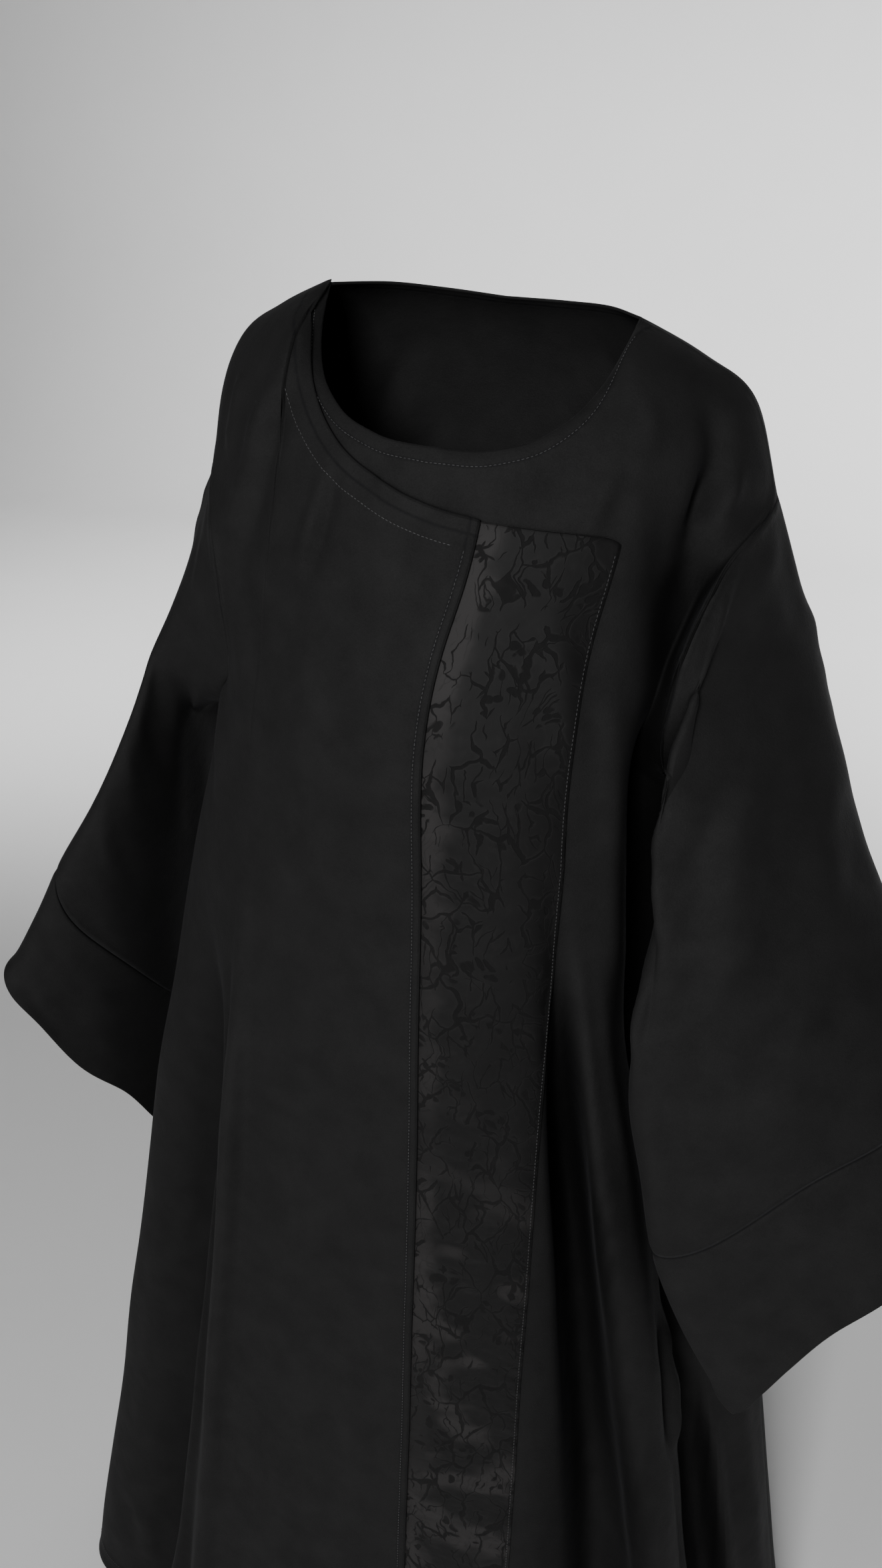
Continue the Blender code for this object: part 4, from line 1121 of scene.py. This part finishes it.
def new_material(name):
    """A material with its tree and shader, or an old one without them, as it is already set up."""
    old = bpy.data.materials.get(name)
    if old:
        return old, None, None
    made = bpy.data.materials.new(name)
    made.use_nodes = True
    tree = made.node_tree
    return made, tree, tree.nodes["Principled BSDF"].inputs


def use_group(tree, group, inputs):
    return add(tree, "ShaderNodeGroup", inputs, node_tree=group).outputs


def edge_fact(tree, name):
    """A stored distance, or a far one where a piece has no such edge."""
    value = stored(tree, name)
    known = maths(tree, "GREATER_THAN", value, 0.0)
    return plus(tree, value, times(tree, maths(tree, "SUBTRACT", 1.0, known), 9.0))


CREPE_DARK, CREPE_LIGHT = (0.0062, 0.0061, 0.0062), (0.0118, 0.0117, 0.0118)
# painted shade: the colour in the furrows of stitches and seams
CREPE_FURROW_SHADE = (0.004, 0.004, 0.0045)
# painted shade: the near-black colour that deep folds and recesses darken towards
CREPE_PAINTED_SHADE = (0.0013, 0.0013, 0.0013)
FURROW_SHADE_SHARE = 0.75          # how much of the painted furrow shade shows in a line of stitches
PAINTED_SHADE_REACH = 0.10             # cloth nearer than this, in metres, paints shade into the colour of a recess
FOLD_PAINTED_SHADE = 0.78            # and a full fold's depth paints shade over this share of the colour


def crepe_material():
    made, tree, shader = new_material("Black crepe")
    if tree is None:
        return made
    where = add(tree, "ShaderNodeTexCoord").outputs["Object"]
    grain = use_group(tree, crepe_grain_group(), {"Vector": where})
    turned = turned_edge_group()
    edges = [use_group(tree, turned, {"Distance": edge_fact(tree, fact), "Stitches at": place, "Vector": where})
             for fact, place in (("neck", NECK_HEM), ("free", FREE_HEM), ("hem", HEM))]
    edges.append(use_group(tree, seam_group(), {"Distance": edge_fact(tree, "seam"), "Vector": where}))
    height = plus(tree, *(edge["Height"] for edge in edges), grain["Height"])
    furrow_shade = most(tree, *(edge["Furrow"] for edge in edges))
    colour = mix(tree, ramp(tree, grain["Tone"], 0.3, 0.7, 0.0, 1.0), CREPE_DARK, CREPE_LIGHT)
    # painted shade in the furrows of the stitches and seams
    colour = mix(tree, times(tree, furrow_shade, FURROW_SHADE_SHARE), colour, CREPE_FURROW_SHADE)
    # painted shade: ambient occlusion and the stored fold depth darken the colour, and lower the specular, in folds
    # and recesses
    around = add(tree, "ShaderNodeAmbientOcclusion", {"Distance": PAINTED_SHADE_REACH}, samples=8).outputs["AO"]
    fold_unshaded = maths(tree, "SUBTRACT", 1.0, times(tree, stored(tree, "hollow"), FOLD_PAINTED_SHADE))
    clear_of_painted_shade = times(tree, soft_step(tree, around, 0.25, 0.84), fold_unshaded)
    bump = add(tree, "ShaderNodeBump", {"Strength": 0.85, "Distance": 1.0, "Height": height})
    give(tree, shader, {
        "Base Color": mix(tree, clear_of_painted_shade, CREPE_PAINTED_SHADE, colour), "Normal": bump.outputs[0],
        "Roughness": ramp(tree, grain["Tone"], 0.3, 0.7, 0.86, 0.74),
        "Specular IOR Level": plus(tree, 0.04, times(tree, clear_of_painted_shade, 0.10)),
        "Sheen Weight": 0.02, "Sheen Roughness": 0.42, "Sheen Tint": (0.55, 0.55, 0.58, 1.0)})
    return made


# painted sheen: the lighter satin colour stands for light caught by the satin
SATIN_DARK, SATIN_PAINTED_SHEEN = (0.0030, 0.0029, 0.0030), (0.0200, 0.0184, 0.0184)
SATIN_OUTLINE = (0.0150, 0.0142, 0.0142)
SATIN_VEIN = (0.0056, 0.0053, 0.0053)
SATIN_FIGURE = (0.0018, 0.0017, 0.0018)


def jacquard_material():
    made, tree, shader = new_material("Jacquard satin")
    if tree is None:
        return made
    cloth = add(tree, "ShaderNodeUVMap", uv_map="cloth").outputs[0]
    figure = use_group(tree, branch_group(), {"Vector": cloth})
    # painted sheen: the satin's colour is lightest beside the opening, in patches down its length
    length = add(tree, "ShaderNodeSeparateXYZ", {0: cloth}).outputs[1]
    lower = soft_step(tree, length, 0.35, 0.75)
    patches = add(tree, "ShaderNodeTexNoise", {"W": length, "Scale": 7.0, "Detail": 1.0}, noise_dimensions="1D")
    wander = maths(tree, "SUBTRACT", noise(tree, cloth, 30.0, 3.0, dimensions="2D"), 0.5)
    sheen_strip = soft_step(tree, plus(tree, stored(tree, "open"), times(tree, wander, 0.030)), 0.008, 0.024, 1.0, 0.0)
    sheen_strip = times(tree, sheen_strip, soft_step(tree, patches.outputs[0], 0.36, 0.60, 0.25, 0.85))
    # painted highlights: brighter diagonal crinkle bands in the lower half
    wide = add(tree, "ShaderNodeMapping", {"Vector": cloth, "Rotation": (0.0, 0.0, -0.55),
                                           "Scale": (0.55, 1.0, 1.0)}).outputs[0]
    across = soft_step(tree, noise(tree, wide, 22.0, 2.0, dimensions="2D"), 0.50, 0.64)
    painted_sheen = most(tree, sheen_strip, times(tree, across, lower, 0.85))
    outlined = times(tree, figure["Outline"], plus(tree, 0.20, times(tree, painted_sheen, 0.5)))
    shown = times(tree, figure["Figure"], plus(tree, 0.45, times(tree, painted_sheen, 0.5)))
    colour = mix(tree, painted_sheen, SATIN_DARK, SATIN_PAINTED_SHEEN)
    colour = mix(tree, outlined, colour, SATIN_OUTLINE)
    colour = mix(tree, times(tree, figure["Twigs"], 0.5), colour, SATIN_VEIN)
    colour = mix(tree, shown, colour, SATIN_FIGURE)
    threads = add(tree, "ShaderNodeTexWave", {"Vector": cloth, "Scale": 900.0, "Distortion": 1.5, "Detail": 1.0},
                  bands_direction="Y").outputs["Fac"]
    crush = times(tree, noise(tree, wide, 34.0, 2.5, dimensions="2D"), plus(tree, times(tree, lower, 0.0050), 0.0014))
    height = plus(tree, times(tree, figure["Figure"], -0.00020), times(tree, threads, 0.00004), crush)
    bump = add(tree, "ShaderNodeBump", {"Strength": 0.9, "Distance": 1.0, "Height": height})
    give(tree, shader, {
        "Base Color": colour, "Normal": bump.outputs[0],
        "Roughness": plus(tree, 0.54, times(tree, figure["Figure"], 0.20)),
        "Specular IOR Level": 0.15, "Sheen Weight": 0.03, "Sheen Roughness": 0.4})
    return made


def thread_material():
    made, tree, shader = new_material("Black thread")
    if tree is None:
        return made
    where = add(tree, "ShaderNodeTexCoord").outputs["Object"]
    ply = add(tree, "ShaderNodeTexWave", {"Vector": where, "Scale": 1400.0, "Distortion": 2.0},
              bands_direction="DIAGONAL").outputs["Fac"]
    bump = add(tree, "ShaderNodeBump", {"Strength": 0.5, "Distance": 0.0001, "Height": ply})
    give(tree, shader, {"Base Color": mix(tree, ply, (0.014, 0.014, 0.015), (0.045, 0.045, 0.047)),
                        "Normal": bump.outputs[0], "Roughness": 0.5, "Sheen Weight": 0.2})
    return made


# ---------------------------------------------------------------- stitches
def contour(points, distance, place, axis):
    """The line over a grid at which a distance first passes a value, along one direction."""
    if axis == 1:
        points, distance = points.transpose(1, 0, 2), distance.T
    found = []
    for column in range(points.shape[1]):
        beyond = distance[:, column] >= place
        crossing = np.flatnonzero(beyond[1:] != beyond[:-1])
        if len(crossing):
            r = crossing[0]
            a, b = distance[r, column], distance[r + 1, column]
            f = (place - a) / (b - a)
            found.append(points[r, column] * (1 - f) + points[r + 1, column] * f)
    return np.array(found)


def stitch_tree(thread):
    """Geometry nodes that lay short, slightly uneven stitches along a line."""
    tree = bpy.data.node_groups.new("Stitch line", "GeometryNodeTree")
    face = tree.interface
    face.new_socket(name="Geometry", in_out="INPUT", socket_type="NodeSocketGeometry")
    for name, value in (("Stitch length", 0.0030), ("Gap share", 0.30), ("Thread radius", 0.00028)):
        made = face.new_socket(name=name, in_out="INPUT", socket_type="NodeSocketFloat")
        made.default_value = value
    face.new_socket(name="Geometry", in_out="OUTPUT", socket_type="NodeSocketGeometry")
    given, result = tree.nodes.new("NodeGroupInput"), tree.nodes.new("NodeGroupOutput")
    length, radius = given.outputs["Stitch length"], given.outputs["Thread radius"]
    places = add(tree, "GeometryNodeCurveToPoints", {"Curve": given.outputs["Geometry"], "Length": length},
                 mode="LENGTH")
    bead = add(tree, "GeometryNodeMeshUVSphere", {"Segments": 6, "Rings": 4, "Radius": 1.0})
    long_half = times(tree, maths(tree, "SUBTRACT", 1.0, given.outputs["Gap share"]), times(tree, length, 0.5))
    size = add(tree, "ShaderNodeCombineXYZ", {0: radius, 1: radius, 2: long_half})
    shaped = add(tree, "GeometryNodeTransform", {"Geometry": bead.outputs["Mesh"], "Scale": size.outputs[0]})
    uneven = add(tree, "FunctionNodeRandomValue", {"Seed": 11}, data_type="FLOAT")
    uneven.inputs[2].default_value, uneven.inputs[3].default_value = 0.88, 1.1
    laid = add(tree, "GeometryNodeInstanceOnPoints", {
        "Points": places.outputs["Points"], "Instance": shaped.outputs[0],
        "Rotation": places.outputs["Rotation"], "Scale": uneven.outputs[1]})
    real = add(tree, "GeometryNodeRealizeInstances", {"Geometry": laid.outputs[0]})
    finish = add(tree, "GeometryNodeSetMaterial", {"Geometry": real.outputs[0], "Material": thread})
    tree.links.new(finish.outputs[0], result.inputs[0])
    return tree


THREAD_PROUD = 0.6           # a stitch's middle stands this many thread radii off the cloth


def stitch_lines(settings):
    """Every line of topstitching, on the outer surface of its piece. Each stops short of the seams."""
    lines = []
    proud = settings.thread_radius * THREAD_PROUD
    for front, tops in ((True, FRONT_TOPS), (False, BACK_TOPS)):
        points, normals, _ = fine_body(front, settings.crease_depth)
        outer = points + normals * proud
        lines.append(contour(outer, neck_distance(points, tops), NECK_HEM, 0)[4:-4])
        lines.append(contour(outer, hem_distance(points), HEM, 0))
    (band, band_normals), (upper, upper_normals) = front_layers(settings)
    outer = upper + upper_normals * (lap_height() + WALL + proud)[None, :, None]
    lines.append(contour(outer[:, 60:-6], neck_distance(upper, UPPER_TOPS)[:, 60:-6], UPPER_HEM, 0))
    lines.append(contour(outer[6:-6], free_distance(upper)[6:-6], FREE_HEM, 1))
    lines.append(contour(outer, hem_distance(upper), HEM, 0))
    outer = band + band_normals * (LAYER_GAP + BAND_WALL + proud)
    lines.append(contour(outer[3:-3], free_distance(band)[3:-3], BAND_HEM, 1))
    return lines


def make_stitches(settings):
    remove_old("topstitching")
    curve = bpy.data.curves.new("stitch lines", "CURVE")
    curve.dimensions = "3D"
    for line in stitch_lines(settings):
        spline = curve.splines.new("POLY")
        spline.points.add(len(line) - 1)
        spline.points.foreach_set("co", np.concatenate([line, np.ones((len(line), 1))], 1).ravel())
    guide = bpy.data.objects.new("stitch guide", curve)
    bpy.context.scene.collection.objects.link(guide)
    tree = stitch_tree(thread_material())
    modifier = guide.modifiers.new("stitches", "NODES")
    modifier.node_group = tree
    by_name = {item.name: item.identifier for item in tree.interface.items_tree if item.in_out == "INPUT"}
    modifier[by_name["Stitch length"]] = settings.stitch_length
    modifier[by_name["Thread radius"]] = settings.thread_radius
    bpy.context.view_layer.update()
    evaluated = guide.evaluated_get(bpy.context.evaluated_depsgraph_get())
    mesh = bpy.data.meshes.new_from_object(evaluated)
    if not mesh.polygons:
        raise RuntimeError("no stitches were made")
    mesh.shade_smooth()
    guide.modifiers.clear()
    bpy.data.objects.remove(guide)
    bpy.data.curves.remove(curve)
    bpy.data.node_groups.remove(tree)
    made = bpy.data.objects.new("topstitching", mesh)
    cloth_collection().objects.link(made)
    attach(made, "root")
    return made


# ---------------------------------------------------------------- studio
FLOOR = -1.446
FLOOR_REACH = 9.0            # it runs this far to each side and ahead
WALL_START = 4.4             # and this far back, then curves up
WALL_CURVE = 1.6             # with this radius
WALL_TOP = 6.5               # to this height above the floor
FLOOR_TONES = 0.84, 0.88
CAMERA_PLACE = (0.2744, -0.9241, 0.0882)
CAMERA_TURN = (math.radians(90 - 26.28), math.radians(0.145), math.radians(17.946))
LENS = 29.0
CLOTH_AIM = Vector((0.0, 0.0, -0.5))
WALL_AIM_BACK, WALL_AIM_UP = 4.0, -0.6   # the lights on the wall aim straight back at this place
WALL_SPREAD = math.radians(110)
AIR_LIGHT = 0.08             # what the surroundings give from all sides
LIGHTS = (                   # place, width in metres, watts
    ("studio key", (0.15, -2.9, 0.9), 0.8, 104.0),
    ("studio fill", (-1.6, -2.2, 1.0), 1.6, 7.0),
    ("studio wall left", (-2.0, 0.8, 1.0), 1.6, 78.0),
    ("studio wall right", (2.5, 1.2, 2.4), 1.6, 215.0))


def floor_material():
    made, tree, shader = new_material("Pale floor")
    if tree is None:
        return made
    where = add(tree, "ShaderNodeTexCoord").outputs["Object"]
    dark, light = ((tone, tone, tone) for tone in FLOOR_TONES)
    give(tree, shader, {"Base Color": mix(tree, noise(tree, where, 3.0, 4.0), dark, light),
                        "Roughness": 0.9, "Specular IOR Level": 0.2})
    return made


def make_floor():
    """The floor and the wall behind it, as one sheet."""
    profile = [(-FLOOR_REACH, 0.0), (WALL_START, 0.0)]
    profile += [(WALL_START + WALL_CURVE * math.sin(t), WALL_CURVE - WALL_CURVE * math.cos(t))
                for t in np.linspace(0.1, math.pi / 2, 16)]
    profile += [(WALL_START + WALL_CURVE, WALL_TOP)]
    verts = [(x, y, FLOOR + z) for y, z in profile for x in (-FLOOR_REACH, FLOOR_REACH)]
    faces = [(2 * i, 2 * i + 1, 2 * i + 3, 2 * i + 2) for i in range(len(profile) - 1)]
    mesh = bpy.data.meshes.new("studio floor")
    mesh.from_pydata(verts, [], faces)
    mesh.shade_smooth()
    mesh.materials.append(floor_material())
    floor = bpy.data.objects.new("studio_floor", mesh)
    bpy.context.scene.collection.objects.link(floor)


def make_studio(settings):
    remove_old("studio")
    make_floor()
    scene = bpy.context.scene
    for name, place, size, power in LIGHTS:
        light = bpy.data.lights.new(name, "AREA")
        light.size = size
        light.energy = power * settings.light
        lamp = bpy.data.objects.new(name, light)
        lamp.location = place
        aim = CLOTH_AIM
        if "wall" in name:
            aim = Vector((place[0], WALL_AIM_BACK, WALL_AIM_UP))
            light.spread = WALL_SPREAD
        lamp.rotation_euler = (aim - Vector(place)).to_track_quat("-Z", "Y").to_euler()
        scene.collection.objects.link(lamp)
    scene.world = bpy.data.worlds.get("Studio world") or bpy.data.worlds.new("Studio world")
    scene.world.use_nodes = True
    back = scene.world.node_tree.nodes["Background"]
    back.inputs["Color"].default_value = (1.0, 1.0, 1.0, 1.0)
    back.inputs["Strength"].default_value = AIR_LIGHT * settings.light
    camera = bpy.data.objects.new("studio camera", bpy.data.cameras.new("studio camera"))
    camera.location = CAMERA_PLACE
    camera.rotation_euler = Euler(CAMERA_TURN, "XYZ")
    camera.data.lens = LENS
    camera.data.sensor_width = 36.0
    camera.data.clip_start = 0.01
    scene.collection.objects.link(camera)
    scene.camera = camera


# ---------------------------------------------------------------- operators and panel
class AbayaSettings(bpy.types.PropertyGroup):
    """What the panel sets"""
    crease_depth: bpy.props.FloatProperty(
        name="Crease depth", description="How deep the hand-laid creases are, 1 as in the photograph",
        default=1.0, min=0.0, max=1.5)
    stitch_length: bpy.props.FloatProperty(
        name="Stitch length", description="From one stitch to the next",
        default=0.0031, min=0.001, max=0.01, unit="LENGTH", subtype="DISTANCE", precision=4)
    thread_radius: bpy.props.FloatProperty(
        name="Thread radius", description="Half the thickness of the stitching thread",
        default=0.00028, min=0.0001, max=0.001, unit="LENGTH", subtype="DISTANCE", precision=5)
    light: bpy.props.FloatProperty(
        name="Light", description="Brightness of the studio, 1 as in the photograph",
        default=1.0, min=0.1, max=4.0)


class ABAYA_OT_body(bpy.types.Operator):
    """Make the under front and the back"""
    bl_idname = "abaya.body"
    bl_label = "Under front and back"
    bl_options = {"REGISTER", "UNDO"}

    def execute(self, context):
        settings = context.scene.abaya
        make_body(settings, True, "under_front", "front_under")
        make_body(settings, False, "back_cloth", "back")
        return {"FINISHED"}


class ABAYA_OT_front_layers(bpy.types.Operator):
    """Make the jacquard band and the upper front that laps over it"""
    bl_idname = "abaya.front_layers"
    bl_label = "Band and upper front"
    bl_options = {"REGISTER", "UNDO"}

    def execute(self, context):
        make_band(context.scene.abaya)
        make_upper_front(context.scene.abaya)
        return {"FINISHED"}


class ABAYA_OT_sleeves(bpy.types.Operator):
    """Make both sleeves and their cuffs"""
    bl_idname = "abaya.sleeves"
    bl_label = "Sleeves and cuffs"
    bl_options = {"REGISTER", "UNDO"}

    def execute(self, context):
        for label in ("left", "right"):
            make_sleeve(context.scene.abaya, label)
            make_cuff(context.scene.abaya, label)
        return {"FINISHED"}


class ABAYA_OT_stitches(bpy.types.Operator):
    """Sew the topstitching along every turned edge"""
    bl_idname = "abaya.stitches"
    bl_label = "Topstitching"
    bl_options = {"REGISTER", "UNDO"}

    def execute(self, context):
        make_stitches(context.scene.abaya)
        return {"FINISHED"}


class ABAYA_OT_studio(bpy.types.Operator):
    """Set up the floor, the lights and the camera"""
    bl_idname = "abaya.studio"
    bl_label = "Studio"
    bl_options = {"REGISTER", "UNDO"}

    def execute(self, context):
        make_studio(context.scene.abaya)
        return {"FINISHED"}


OPERATORS = (ABAYA_OT_body, ABAYA_OT_front_layers, ABAYA_OT_sleeves, ABAYA_OT_stitches, ABAYA_OT_studio)


class ABAYA_PT_panel(bpy.types.Panel):
    """The abaya's sizes and a button for each group of its pieces"""
    bl_idname = "ABAYA_PT_panel"
    bl_label = "Abaya"
    bl_space_type = "VIEW_3D"
    bl_region_type = "UI"
    bl_category = "Abaya"

    def draw(self, context):
        settings = context.scene.abaya
        for name in ("crease_depth", "stitch_length", "thread_radius", "light"):
            self.layout.prop(settings, name)
        for operator in OPERATORS:
            self.layout.operator(operator.bl_idname)


CLASSES = (AbayaSettings, *OPERATORS, ABAYA_PT_panel)


def register():
    for made in CLASSES:
        bpy.utils.register_class(made)
    bpy.types.Scene.abaya = bpy.props.PointerProperty(type=AbayaSettings)


def unregister():
    del bpy.types.Scene.abaya
    for made in reversed(CLASSES):
        bpy.utils.unregister_class(made)


def main():
    register()
    for operator in OPERATORS:
        group, name = operator.bl_idname.split(".")
        getattr(getattr(bpy.ops, group), name)()


if __name__ == "__main__":
    main()
